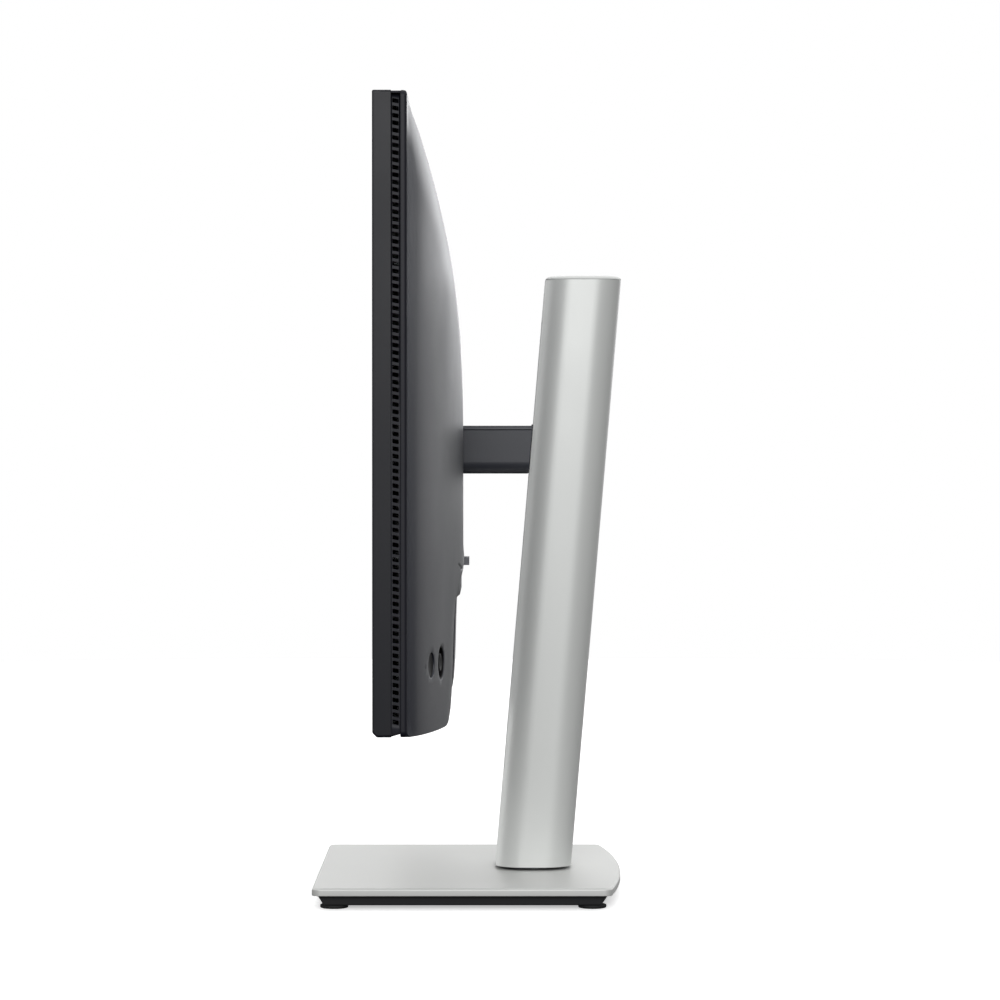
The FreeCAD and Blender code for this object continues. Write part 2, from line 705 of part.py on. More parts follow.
def connectors():
    """The connector plate in the bay's ceiling, and every connector that opens downwards."""
    base = f"{BOARD_BACK} + 0.6"
    plate_z = ("bay_top + cover_wall", "bay_top + cover_wall + 0.8")
    mouth = "bay_top + 0.8"
    windows = []
    pair = []
    for label, wide, thick, wall, x in PORTS:
        layer = deep(base, f"{base} + {thick}")
        shell = block(f"{label}_shell", across(wide, x), layer, (mouth, f"{mouth} + 14"))
        room = block(f"{label}_room", across(wide - 2 * wall, x),
                     deep(f"{base} + {wall}", f"{base} + {thick - wall}"),
                     (f"{mouth} - 1", f"{mouth} + 11"))
        hollow = cut(f"{label}_hollow", shell, room)
        tongue_z = (f"{mouth} + 2", f"{mouth} + 12")
        tongue = block(f"{label}_tongue", across(0.72 * wide, x),
                       deep(f"{base} + {0.5 * thick - 0.5}", f"{base} + {0.5 * thick + 0.5}"),
                       tongue_z)
        foot = block(f"{label}_foot", across(0.8 * wide, x), deep(BOARD_BACK, base),
                     ("bay_top + 5", f"{mouth} + 14"))
        port = join(label, hollow, tongue, foot)
        if label.startswith("usb_a"):
            pair.append(port)
        else:
            node(port, label)
        windows.append(block(f"{label}_window", across(wide + 0.4, x),
                             deep(f"{base} - 0.2", f"{base} + {thick + 0.2}"),
                             ("bay_top", "bay_top + 5")))
    node(group("usb_a_pair", *pair), "usb_a_ports")
    inlet = block("inlet_body", across("28", INLET_X), deep(base, f"{base} + 17"),
                  (mouth, f"{mouth} + 20"))
    inlet_room = block("inlet_room", across("24.4", INLET_X),
                       deep(f"{base} + 1.6", f"{base} + 15.4"), (f"{mouth} - 1", f"{mouth} + 16"))
    inlet_foot = block("inlet_foot", across("26", INLET_X), deep(BOARD_BACK, base),
                       ("bay_top + 5", f"{mouth} + 20"))
    pin_holes = []
    pins = []
    for i, (step, rise) in enumerate(((-7, 6), (0, 10), (7, 6))):
        x = INLET_X + step
        pins.append(block(f"pin_{i}", across("2", x), deep(f"{base} + {rise}", f"{base} + {rise + 4}"),
                          (f"{mouth} + 5", f"{mouth} + 18")))
        pin_holes.append(block(f"pin_hole_{i}", across("2", x),
                               deep(f"{base} + {rise}", f"{base} + {rise + 4}"),
                               (f"{mouth} + 5", f"{mouth} + 18")))
    hollow_inlet = join("inlet_joined", cut("inlet_hollow", inlet, inlet_room), inlet_foot)
    node(group("inlet", cut("inlet_moulding", hollow_inlet, *pin_holes), *pins), "ac_inlet")
    windows.append(block("inlet_window", across("28.4", INLET_X),
                         deep(f"{base} - 0.2", f"{base} + 17.2"), ("bay_top", "bay_top + 5")))
    plate = block("io_blank", across("bay_width - 2"), deep("bay_floor + 1.5", "43"), plate_z)
    node(cut("io_sheet", plate, *windows), "io_plate")


def lock_and_label():
    """A security slot in a steel insert, and a blank rating label."""
    insert = block("lock_blank", across("14", "-84"), deep("bay_floor - pan_wall", "bay_floor"),
                   across("9", "152"))
    slot = block("lock_opening", across("7", "-84"), deep("10", "30"), across("3", "152"))
    node(cut("lock_insert", insert, slot), "lock_slot_insert")
    node(block("label_sheet", across("84"), deep("bay_floor", "bay_floor + 0.3"), (126, 160)),
         "rating_label")


# ---- controls ------------------------------------------------------------------------------

def controls():
    """Key board, power button, power lamp and the menu joystick with its well."""
    board = block("key_blank", (222, 288), deep("15.4", "17"), (143, 167))
    cap = disc("power_cap", "power_radius", ("power_x", "head_front + 24", "control_height"),
               "8.6", "y")
    stem = rod("power_stem", "2", ("power_x", "head_front + 18", "control_height"), "6.5", "y")
    node(join("power_key", cap, stem), "power_button")
    node(rod("lamp", "1.25", ("lamp_x", "head_front + 17", "control_height"), "12.3", "y"),
         "power_lamp_lens")
    well_back = 36.2
    well_front = 27.2
    at = ("stick_x", f"head_front + {well_front}", "control_height")
    well = rod("well_outside", "stick_well", at, well_back - well_front, "y")
    room = rod("well_room", "stick_well - 0.9",
               ("stick_x", f"head_front + {well_front + 1.2}", "control_height"), "20", "y")
    throat = rod("well_throat", "5", ("stick_x", "head_front + 20", "control_height"), "20", "y")
    node(cut("well", well, room, throat), "joystick_well")
    knob = disc("stick_knob", "5.4", ("stick_x", "head_front + 31.4", "control_height"),
                "4.4", "y", "1.2")
    stalk = rod("stick_stalk", "1.5", ("stick_x", "head_front + 21.6", "control_height"),
                "10", "y")
    node(join("stick", knob, stalk), "joystick_cap")
    ring_at = ("stick_x", "head_front + stick_pivot - 0.5", "control_height")
    node(tube("gimbal", "3.3", "2.3", ring_at, "1", "y"), "joystick_gimbal")
    cup = rod("plunger_cup", "4.4", ("stick_x", "head_front + 20.3", "control_height"),
              "4.7", "y")
    cup_room = rod("plunger_room", "3.6", ("stick_x", "head_front + 21.1", "control_height"),
                   "9", "y")
    node(cut("plunger", cup, cup_room), "joystick_plunger")
    base = block("stick_switch", across("9", "stick_x"), deep("17", "19.6"),
                 across("9", "control_height"))
    tact = block("power_switch", across("6", "power_x"), deep("17", "17.1"),
                 across("6", "control_height"))
    node(join("key_card", board, base, tact), "key_board")


def quick_release():
    """Release button, latch and spring in the head, and the plate that they hold."""
    button_z = across("5", "205.1")
    key = block("release_key", across("20"), deep("43.4", "51.2"), button_z)
    ramp = block("release_ramp", across("12"), deep("40.9", "43.4"), across("3.4", "205.1"))
    node(join("release_push", key, ramp), "release_button")
    tooth = block("latch_tooth", across("16"), deep("35.2", "36.8"), (209, 219.6))
    foot = block("latch_foot", across("30"), deep("35.2", "38.2"), (199.5, 209))
    node(join("latch", tooth, foot), "release_latch")
    spring = tube("spring_sleeve", "1.6", "1.1", ("0", "head_front + 36.7", "191.5"), "7.5", "z")
    node(spring, "release_spring")
    plate = block("release_blank", across("release_plate"),
                  deep("recess_floor", "recess_floor + release_sheet"),
                  across("release_plate", "hinge_height"))
    tongue = block("release_tongue", across("30"),
                   deep("recess_floor", "recess_floor + release_sheet"), (216.9, 240))
    hooks = [
        block(f"hook_{side}", across("12", f"{side} * 30"), deep("35", "37.4"),
              (310, "hinge_height + recess_size / 2 + 1.6"))
        for side in (-1, 1)
    ]
    bite = block("latch_bite", across("16.8"), deep("34.9", "37.1"), (216, 220.4))
    bore = rod("pivot_bore", "6 + running_gap",
               ("0", "head_front + 30", "hinge_height"), "20", "y")
    sink = rod("pivot_sink", "9.3", ("0", "head_front + 33", "hinge_height"), "2.75", "y")
    node(cut("release_finished", join("release_whole", plate, tongue, *hooks), bite, bore, sink),
         "quick_release_plate")


# ---- tilt and pivot ------------------------------------------------------------------------

STACK = "recess_floor + release_sheet"


def tilt_head():
    """Friction washer, rivet and bracket of the pivot, and the tilt bracket's ears."""
    at = ("0", f"head_front + {STACK}", "hinge_height")
    node(tube("pivot_disc", "20", "6 + running_gap", at, "1", "y"), "pivot_washer")
    head = rod("rivet_head", "9", ("0", "head_front + recess_floor + 0.15", "hinge_height"),
               "1.55", "y")
    shaft = rod("rivet_shaft", "6", ("0", "head_front + recess_floor + 1", "hinge_height"),
                "7.5", "y")
    tail = rod("rivet_tail", "9", ("0", f"head_front + {STACK} + 3.5", "hinge_height"),
               "1.4", "y")
    node(join("rivet", head, shaft, tail), "pivot_rivet")
    plate = block("tilt_plate", across("60"), deep(f"{STACK} + 1", f"{STACK} + 3.5"),
                  across("56", "hinge_height"))
    pieces = [plate]
    bores = [rod("tilt_centre", "6", ("0", "head_front + 30", "hinge_height"), "20", "y")]
    for side in (-1, 1):
        ear_x = across("2.8", f"{side} * 25.9")
        pieces.append(block(f"ear_{side}", ear_x, (f"head_front + {STACK} + 2", "hinge_y"),
                            across("ear_height", "hinge_height")))
        pieces.append(rod(f"ear_end_{side}", "ear_height / 2",
                          (ear_x[0], "hinge_y", "hinge_height"), "2.8", "x"))
    bores.append(rod("ear_bore", "pin_radius + running_gap",
                     ("-40", "hinge_y", "hinge_height"), "80", "x"))
    node(cut("tilt_frame", join("tilt_whole", *pieces), *bores), "tilt_bracket")


def tilt_pin():
    """The tilt pin with its two friction washers, held by the arm."""
    node(rod("pin", "pin_radius", ("-27.6", "hinge_y", "hinge_height"), "55.2", "x"), "tilt_pin")
    washers = [
        tube(f"tilt_washer_{side}", "6.5", "pin_radius + running_gap",
             (f"{side} * 24.15 - 0.3", "hinge_y", "hinge_height"), "0.6", "x")
        for side in (-1, 1)
    ]
    node(group("tilt_washer_set", *washers), "tilt_washers")


def column_face(name, gap):
    """A solid that fills everything behind the column's front face, less a gap."""
    wall = block(f"{name}_wall", across("400"), (f"-column_thick / 2 - {gap}", "300"),
                 ("0", "500"))
    return lean(group(name, wall))


def arm():
    """Upper and lower covers of the arm, round its steel bracket."""
    ends = ("arm_front", "60")
    halves = [
        ("arm_upper_cover", "hinge_height", "hinge_height + arm_rise", "0", "-arm_wall"),
        ("arm_lower_cover", "hinge_height - arm_drop", "hinge_height", "arm_wall", "0"),
    ]
    for label, low, high, lift, sink in halves:
        shell = block(f"{label}_blank", across("arm_width"), ends, (low, high))
        room = block(f"{label}_room", across("arm_width - 2 * arm_wall"), ("-20", "80"),
                     (f"{low} + {lift} - {1 if lift == '0' else 0}",
                      f"{high} + {sink} + {1 if sink == '0' else 0}"))
        node(cut(label, shell, room, column_face(f"{label}_end", "0.8")), label)
    body = block("arm_core", across("40"), ("17", "42"), across("20", "hinge_height"))
    pieces = [body]
    for side in (-1, 1):
        ear_x = across("3", f"{side} * 22.35")
        pieces.append(block(f"arm_ear_{side}", ear_x, ("hinge_y", "30"),
                            across("12", "hinge_height")))
        pieces.append(rod(f"arm_ear_end_{side}", "6", (ear_x[0], "hinge_y", "hinge_height"),
                          "3", "x"))
        pieces.append(block(f"arm_shoulder_{side}", across("4.35", f"{side} * 21.675"),
                            ("17", "34"), across("20", "hinge_height")))
    bore = rod("arm_bore", "pin_radius", ("-40", "hinge_y", "hinge_height"), "80", "x")
    front = column_face("core_end", "0.8")
    node(cut("arm_frame", join("arm_whole", *pieces), bore, front), "arm_bracket")


# ---- column --------------------------------------------------------------------------------

def column_shell():
    """The leaning tube with its front slot and the cable hole low down."""
    outside = rounded_bar("column_outside", "column_width", "column_thick",
                          "column_length", "column_corner")
    bore = rounded_bar("column_bore", "column_width - 2 * column_wall",
                       "column_thick - 2 * column_wall", "column_length",
                       "column_corner - column_wall")
    reach = "neck_half + 2"
    slot = block("column_slot", across("2 * slot_half"), ("-40", "-10"),
                 (f"carriage_level - travel_down - ({reach})",
                  f"carriage_level + travel_up + {reach}"))
    cable = block("cable_hole", across("30"), ("-40", "40"), (66, 106))
    slotted = lean(cut("column_slotted", cut("column_tube", outside, bore), slot, cable))
    below = block("below_column", across("200"), ("-100", "200"), ("-50", "column_foot"))
    above = block("above_column", across("200"), ("-100", "200"),
                  ("column_top - cap_height", "column_top + 50"))
    node(cut("column_trimmed", slotted, below, above), "column_shell")


def column_cap():
    """The level cap that closes the leaning column, with a plug that reaches inside."""
    bar = lean(rounded_bar("cap_bar", "column_width", "column_thick", "column_length",
                           "column_corner"))
    layer = block("cap_layer", across("100"), ("0", "150"),
                  ("column_top - cap_height", "column_top"))
    plug_bar = lean(rounded_bar("plug_bar", "column_width - 2 * column_wall - 12",
                                "column_thick - 2 * column_wall - 1", "column_length",
                                "column_corner - column_wall - 4"))
    plug_layer = block("plug_layer", across("100"), ("0", "150"),
                       ("column_top - cap_height - 2.5", "column_top - cap_height"))
    node(join("cap_whole", common("cap_body", bar, layer),
              common("cap_plug", plug_bar, plug_layer)), "column_cap")


def column_rail():
    """The steel channel that the carriage runs in, with the springs' anchor."""
    level = (122, 366)
    back = block("rail_back", across("48"), ("17.5", "19.5"), level)
    sides = [
        block(f"rail_side_{side}", across("2", f"{side} * 23"), ("-2", "18"), level)
        for side in (-1, 1)
    ]
    anchor = block("anchor_block", across("36"), ("14.6", "17.5"), (356, 366))
    limit = rounded_bar("rail_limit", "column_width - 2 * column_wall - 0.4",
                        "column_thick - 2 * column_wall - 0.4", "column_length",
                        "column_corner - column_wall - 0.2")
    rail = common("rail_trimmed", join("rail", back, anchor, *sides), limit)
    node(lean(rail), "column_rail")
    strips = [
        block(f"strip_{side}", across("12", f"{side} * 10"), ("14.2", "14.6"),
              ("carriage_level - drum_drop", "366"))
        for side in (-1, 1)
    ]
    node(lean(group("strip_pair", *strips)), "spring_strips")


def carriage():
    """The sliding carriage, its glides and the two coiled springs on their axle."""
    level = "carriage_level"
    core = block("carriage_core", across("42"), ("-8", "13"),
                 (f"{level} - 40", f"{level} + 35"))
    neck = block("carriage_neck", across("26"), ("-column_thick / 2 - 0.8", "-8"),
                 across("2 * neck_half", level))
    rib = block("carriage_rib", across("3"), ("-4", "11"),
                (f"{level} - drum_drop - 6", f"{level} - 39"))
    axle_start = ("-19", "3", f"{level} - drum_drop")
    axle = rod("spring_axle", "3", axle_start, "38", "x")
    node(lean(join("carriage_body", core, neck, rib, axle)), "carriage")
    drums = [
        tube(f"drum_{start}", "drum_radius", "3 + running_gap",
             (start, "3", f"{level} - drum_drop"), "15", "x")
        for start in (-17, 2)
    ]
    node(lean(group("drum_pair", *drums)), "spring_drums")
    glides = []
    for side in (-1, 1):
        for step in (-34, 22):
            glides.append(block(f"glide_{side}_{step}", across("0.9", f"{side} * 21.45"),
                                (2, 11), (f"{level} + {step}", f"{level} + {step + 12}")))
    node(lean(group("glide_set", *glides)), "carriage_glides")


# ---- base ----------------------------------------------------------------------------------

def base_outline(body, name, inset, height="0"):
    """Straight front and sides and a rear edge that is one wide arc."""
    sketch = sketch_on(body, name, height)
    half = SIZE["base_width"] / 2 - 1
    front, rear = -SIZE["base_front"], SIZE["base_corner_y"]
    bulge = SIZE["base_bulge"]
    sketch.addGeometry(Part.LineSegment(Vector(-half, front, 0), Vector(half, front, 0)), False)
    sketch.addGeometry(Part.LineSegment(Vector(half, front, 0), Vector(half, rear, 0)), False)
    arc = Part.Arc(Vector(half, rear, 0), Vector(0, rear + bulge, 0), Vector(-half, rear, 0))
    radius = (half * half + bulge * bulge) / (2 * bulge)
    sketch.addGeometry(arc, False)
    sketch.addGeometry(Part.LineSegment(Vector(-half, rear, 0), Vector(-half, front, 0)), False)
    for pair in ((0, 2, 1, 1), (1, 2, 2, 1), (2, 2, 3, 1), (3, 2, 0, 1)):
        sketch.addConstraint(Sketcher.Constraint("Coincident", *pair))
    sketch.addConstraint(Sketcher.Constraint("Vertical", 1))
    sketch.addConstraint(Sketcher.Constraint("Symmetric", 0, 1, 0, 2, -2))
    sketch.addConstraint(Sketcher.Constraint("Symmetric", 1, 2, 3, 1, -2))
    constrain(sketch, f"base_width - 2 * ({inset})", "DistanceX", 0, 1, 0, 2, 2 * half)
    constrain(sketch, f"base_front - ({inset})", "DistanceY", 0, 1, -1, 1, -front)
    constrain(sketch, f"base_corner_y - ({inset})", "DistanceY", -1, 1, 1, 2, rear)
    constrain(sketch, "(base_width * base_width / 4 + base_bulge * base_bulge)"
              " / (2 * base_bulge)", "Radius", 2, radius)
    return sketch


def base_slab(name, inset, low, high, corner, hollow=None):
    """A slab of the base's outline, with its lower side hollowed if asked."""
    body = new_body(name)
    pad(body, base_outline(body, f"{name}_outline", inset), f"({high}) - ({low})")
    if hollow:
        wall, depth = hollow
        pocket(body, base_outline(body, f"{name}_hollow", f"{inset} + {wall}"), depth)
    dress(body, "Fillet", "Radius", corner, upright)
    move(body, ("0", "0", low))
    doc.recompute()
    return body


def swivel_hole(name, radius):
    return rod(name, radius, ("0", "swivel_y", "-5"), "40", "z")


def base():
    """Base plate, steel weight, underside and rubber feet."""
    skirt = base_slab("base_shell", "0", "base_skirt", "base_top", "base_round",
                      ("base_sheet", "base_top - base_skirt - base_sheet"))
    dress(skirt, "Chamfer", "Size", "1.2",
          at_height(SIZE["base_top"] - SIZE["base_skirt"]))
    node(cut("base_plate", skirt, swivel_hole("plate_hole", "spigot_radius + running_gap")),
         "base_top_plate")

    room = "under_bottom + under_sheet"
    tray = base_slab("under_shell", "under_inset", "under_bottom", "base_skirt", "2.4")
    inside = base_slab("under_room", "under_inset + 2.5", room, "base_skirt + 1", "1")
    node(cut("under_tray", tray, inside, swivel_hole("tray_hole", "well_radius")),
         "base_bottom_cover")
    weight = base_slab("weight_slab", "under_inset + 2.6", room, "base_skirt - 0.4", "1.2")
    node(cut("weight", weight, swivel_hole("weight_hole", "well_radius")), "base_weight")
    feet = [
        rod(f"foot_{side}_{end}", "foot_radius", (f"{side} * foot_x", end, "0"),
            "under_bottom", "z")
        for side in (-1, 1)
        for end in ("foot_front", "foot_back")
    ]
    node(group("foot_set", *feet), "rubber_feet")


def swivel():
    """Swivel washer, flange, retainer and the captive screw with its fold-out bail."""
    centre = lambda z: ("0", "swivel_y", z)
    node(tube("washer", "21", "spigot_radius + running_gap", centre("base_top"), "0.4", "z"),
         "swivel_washer")
    flange = rod("flange", "22", centre("base_top + 0.4"), "column_foot - base_top - 0.4", "z")
    spigot = rod("spigot", "spigot_radius", centre("10"), "base_top - 9", "z")
    foot = block("hub_foot", across("52"), across("32", "swivel_y"),
                 ("column_foot", "column_foot + 12"))
    bore = rod("spigot_bore", "3 + running_gap", centre("5"), "30", "z")
    node(cut("swivel_flanged", join("swivel_whole", flange, spigot, foot), bore), "swivel_hub")
    node(tube("retainer", "18", "3 + running_gap", centre("8.6"), "1.4", "z"),
         "swivel_retainer")
    head = rod("screw_head", "8", centre("5.8"), "2.8", "z")
    shank = rod("screw_shank", "3", centre("8"), "14", "z")
    lug = block("screw_lug", across("10"), across("3", "swivel_y"), ("3.2", "6"))
    eye = rod("screw_eye", "0.9 + running_gap", ("-10", "swivel_y", "4.5"), "20", "x")
    node(cut("screw", join("screw_whole", head, shank, lug), eye), "captive_screw")
    pin = rod("bail_pin", "0.9", ("-7.4", "swivel_y", "4.5"), "14.8", "x")
    legs = [
        block(f"bail_leg_{side}", across("2", f"{side} * 6.4"),
              ("swivel_y", "swivel_y + 14"), across("1.8", "4.5"))
        for side in (-1, 1)
    ]
    bar = block("bail_bar", across("14.8"), ("swivel_y + 12", "swivel_y + 14"),
                across("1.8", "4.5"))
    node(join("bail", pin, *legs, bar), "screw_bail")


# ---- assembly ------------------------------------------------------------------------------

def check(thing):
    """Stops with a plain message if an object failed or a sub-part has no sound shape."""
    if "Invalid" in thing.State or "Error" in thing.State:
        raise ValueError(f"{thing.Label} failed: {thing.State}")


def main():
    for make in (front_bezel, display_panel, led_bar, driver_board, vent_frame, back_cover,
                 main_bracket, vesa_inserts, circuit_boards, board_components, connectors,
                 lock_and_label, controls, quick_release, tilt_head, tilt_pin, arm,
                 column_shell, column_cap, column_rail, carriage, base, swivel):
        make()
    doc.recompute()
    for thing in doc.Objects:
        check(thing)
    os.makedirs("parts", exist_ok=True)
    for thing in NODES:
        shape = thing.Shape
        if shape.isNull() or not shape.isValid() or not shape.Solids:
            raise ValueError(f"{thing.Label} has no valid solid")
    for thing in NODES:
        thing.Shape.exportStep(f"parts/{thing.Label}.step")
    print(f"{len(NODES)} sub-parts written")


main()
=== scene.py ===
import math

import bmesh
import bpy
from mathutils import Matrix, Vector, geometry


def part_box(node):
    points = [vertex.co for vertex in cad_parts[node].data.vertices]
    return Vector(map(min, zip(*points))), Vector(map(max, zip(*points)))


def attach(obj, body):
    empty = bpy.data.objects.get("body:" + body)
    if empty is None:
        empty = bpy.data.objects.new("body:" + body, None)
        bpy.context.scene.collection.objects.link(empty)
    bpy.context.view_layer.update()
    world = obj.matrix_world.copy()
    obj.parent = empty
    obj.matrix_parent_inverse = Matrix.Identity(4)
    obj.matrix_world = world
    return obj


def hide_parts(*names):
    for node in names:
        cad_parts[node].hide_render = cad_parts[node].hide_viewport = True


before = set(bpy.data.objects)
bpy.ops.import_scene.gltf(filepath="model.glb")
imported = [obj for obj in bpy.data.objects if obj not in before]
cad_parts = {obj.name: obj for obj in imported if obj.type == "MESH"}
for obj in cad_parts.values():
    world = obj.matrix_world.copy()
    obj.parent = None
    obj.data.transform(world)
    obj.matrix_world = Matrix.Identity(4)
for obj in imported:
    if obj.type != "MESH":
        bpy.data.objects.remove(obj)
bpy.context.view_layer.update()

# A 27-inch office monitor seen from its side: dark head, silver column and base.
# Lengths below are in millimetres of the frame; mesh() turns them into metres.
MM = 0.001


def span(node):
    """Lowest and highest corner of a CAD node, in millimetres."""
    low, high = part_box(node)
    return Vector(low) / MM, Vector(high) / MM


def centre(node):
    """Middle of a CAD node's box, in millimetres."""
    low, high = span(node)
    return (low + high) / 2


BEZEL_LOW, BEZEL_HIGH = span("front_bezel")
VENT_LOW, VENT_HIGH = span("vent_frame")
HALF_W = BEZEL_HIGH.x
HEAD_LOW, HEAD_TOP = BEZEL_LOW.z, BEZEL_HIGH.z
FRONT_Y = BEZEL_LOW.y
LEAN = math.radians(4.87)
HINGE_Z = centre("tilt_pin").z
POWER, STICK, LAMP, RELEASE = (centre(node) for node in (
    "power_button", "joystick_well", "power_lamp_lens", "release_button"))


# ---- mesh tools ----------------------------------------------------------------------------

def smooth_curve(points):
    """A monotone cubic through the points, as a function."""
    xs = [p[0] for p in points]
    ys = [p[1] for p in points]
    rises = [(ys[i + 1] - ys[i]) / (xs[i + 1] - xs[i]) for i in range(len(xs) - 1)]
    slopes = [rises[0]]
    for a, b in zip(rises, rises[1:]):
        slopes.append(0 if a * b <= 0 else 2 * a * b / (a + b))
    slopes.append(rises[-1])

    def at(x):
        if x <= xs[0]:
            return ys[0]
        if x >= xs[-1]:
            return ys[-1]
        i = max(k for k in range(len(xs) - 1) if xs[k] <= x)
        wide = xs[i + 1] - xs[i]
        t = (x - xs[i]) / wide
        return (
            (2 * t ** 3 - 3 * t ** 2 + 1) * ys[i]
            + (t ** 3 - 2 * t ** 2 + t) * wide * slopes[i]
            + (3 * t ** 2 - 2 * t ** 3) * ys[i + 1]
            + (t ** 3 - t ** 2) * wide * slopes[i + 1]
        )

    return at


def softened(curve, start, reach, taps=9):
    """The curve with its bends spread over a reach that grows from nothing at the start."""
    def at(x):
        half = min(reach, max(0, (x - start) * 0.7))
        return sum(curve(x + half * (2 * i / (taps - 1) - 1)) for i in range(taps)) / taps

    return at


def ease(t):
    t = min(1, max(0, t))
    return t * t * (3 - 2 * t)


def rounded(half_x, low, high, radius, steps=6, middle=0):
    """A closed rounded rectangle in a plane, anticlockwise from its lower right corner.

    radius is one number, or four: lower right, upper right, upper left, lower left."""
    radii = radius if isinstance(radius, (list, tuple)) else [radius] * 4
    points = []
    corners = ((1, low, -90), (1, high, 0), (-1, high, 90), (-1, low, 180))
    for (side, level, start), r in zip(corners, radii):
        cx = middle + side * (half_x - r)
        cz = level + r if level == low else level - r
        for i in range(steps + 1):
            a = math.radians(start + 90 * i / steps)
            points.append((cx + r * math.cos(a), cz + r * math.sin(a)))
    return points


def ring_faces(count, rings, closed_rings=False, closed_loop=True):
    """Quads between successive rings of count points each."""
    faces = []
    last = rings if closed_rings else rings - 1
    for k in range(last):
        a, b = k * count, ((k + 1) % rings) * count
        for i in range(count if closed_loop else count - 1):
            j = (i + 1) % count
            faces.append((a + i, a + j, b + j, b + i))
    return faces


def stack(rings, cap_start=False, cap_end=False, closed=False):
    """Points and faces of a skin through rings of equal length."""
    count = len(rings[0])
    points = [p for ring in rings for p in ring]
    faces = ring_faces(count, len(rings), closed)
    if cap_start:
        faces.append(tuple(range(count))[::-1])
    if cap_end:
        faces.append(tuple(range((len(rings) - 1) * count, len(rings) * count)))
    return points, faces


def merged(*parts):
    """Several (points, faces) pairs as one."""
    points, faces = [], []
    for more_points, more_faces in parts:
        shift = len(points)
        points += more_points
        faces += [tuple(i + shift for i in f) for f in more_faces]
    return points, faces


def inside(point, loop):
    """Is a flat point inside a closed loop?"""
    x, y = point
    hit = False
    for (x1, y1), (x2, y2) in zip(loop, loop[1:] + loop[:1]):
        if (y1 > y) != (y2 > y) and x < (x2 - x1) * (y - y1) / (y2 - y1) + x1:
            hit = not hit
    return hit


def dense(path, step):
    """An open path with points every few millimetres, without its last point."""
    out = []
    for p, q in zip(path, path[1:]):
        n = max(1, round(math.dist(p, q) / step))
        out += [(p[0] + (q[0] - p[0]) * i / n, p[1] + (q[1] - p[1]) * i / n) for i in range(n)]
    return out


def circle(x, y, radius, count):
    """A flat circle of points, anticlockwise."""
    turns = [2 * math.pi * i / count for i in range(count)]
    return [(x + radius * math.cos(a), y + radius * math.sin(a)) for a in turns]


def boxed(loop, margin):
    xs = [p[0] for p in loop]
    ys = [p[1] for p in loop]
    return min(xs) - margin, max(xs) + margin, min(ys) - margin, max(ys) + margin


def near(point, loop, gap):
    """Is a flat point within a gap of a loop?"""
    p = Vector(point)
    for a, b in zip(loop, loop[1:] + loop[:1]):
        a, b = Vector(a), Vector(b)
        along = b - a
        t = max(0, min(1, (p - a).dot(along) / max(along.length_squared, 1e-12)))
        if (a + along * t - p).length < gap:
            return True
    return False


def punched(outline, holes, columns, rows, lift, gap=0.6):
    """A curved sheet with holes: flat triangles inside the outline, lifted into space."""
    loops = [outline] + holes
    bounds = [boxed(h, gap) for h in holes]
    flat = [p for loop in loops for p in loop]
    edges = []
    start = 0
    for loop in loops:
        n = len(loop)
        edges += [(start + i, start + (i + 1) % n) for i in range(n)]
        start += n
    for x in columns:
        for y in rows:
            p = (x, y)
            if not inside(p, outline) or near(p, outline, gap):
                continue
            if not any(x0 < x < x1 and y0 < y < y1 and (inside(p, hole) or near(p, hole, gap))
                       for hole, (x0, x1, y0, y1) in zip(holes, bounds)):
                flat.append(p)
    out = geometry.delaunay_2d_cdt([Vector(p) for p in flat], edges, [], 0, 1e-5)
    points = [tuple(v) for v in out[0]]
    faces = []
    for f in out[2]:
        c = (sum(points[i][0] for i in f) / 3, sum(points[i][1] for i in f) / 3)
        in_hole = any(x0 < c[0] < x1 and y0 < c[1] < y1 and inside(c, hole)
                      for hole, (x0, x1, y0, y1) in zip(holes, bounds))
        if inside(c, outline) and not in_hole:
            faces.append(tuple(f))
    return [lift(*p) for p in points], faces


def mesh(name, shape, body, look, replaced=(), crease=32, weld=0.0005, weighted=True):
    """Makes a piece from (points, faces) in millimetres and lets it ride on a body."""
    points, faces = shape
    data = bpy.data.meshes.new(name)
    data.from_pydata([Vector(p) * MM for p in points], [], faces)
    work = bmesh.new()
    work.from_mesh(data)
    bmesh.ops.remove_doubles(work, verts=work.verts, dist=weld * MM)
    bmesh.ops.recalc_face_normals(work, faces=work.faces)
    for face in work.faces:
        face.smooth = True
    for edge in work.edges:
        if len(edge.link_faces) == 2:
            edge.smooth = edge.calc_face_angle(0) < math.radians(crease)
    work.to_mesh(data)
    work.free()
    piece = bpy.data.objects.new(name, data)
    bpy.context.scene.collection.objects.link(piece)
    data.materials.append(look)
    if weighted:
        modifier = piece.modifiers.new("even normals", "WEIGHTED_NORMAL")
        modifier.keep_sharp = True
    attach(piece, body)
    if replaced:
        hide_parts(*replaced)
    return piece


# ---- materials -----------------------------------------------------------------------------

def linear(*rgb):
    """A colour given as 0-255 on screen, as the shader wants it."""
    out = []
    for value in rgb:
        v = value / 255
        out.append(v / 12.92 if v <= 0.04045 else ((v + 0.055) / 1.055) ** 2.4)
    return (*out, 1)


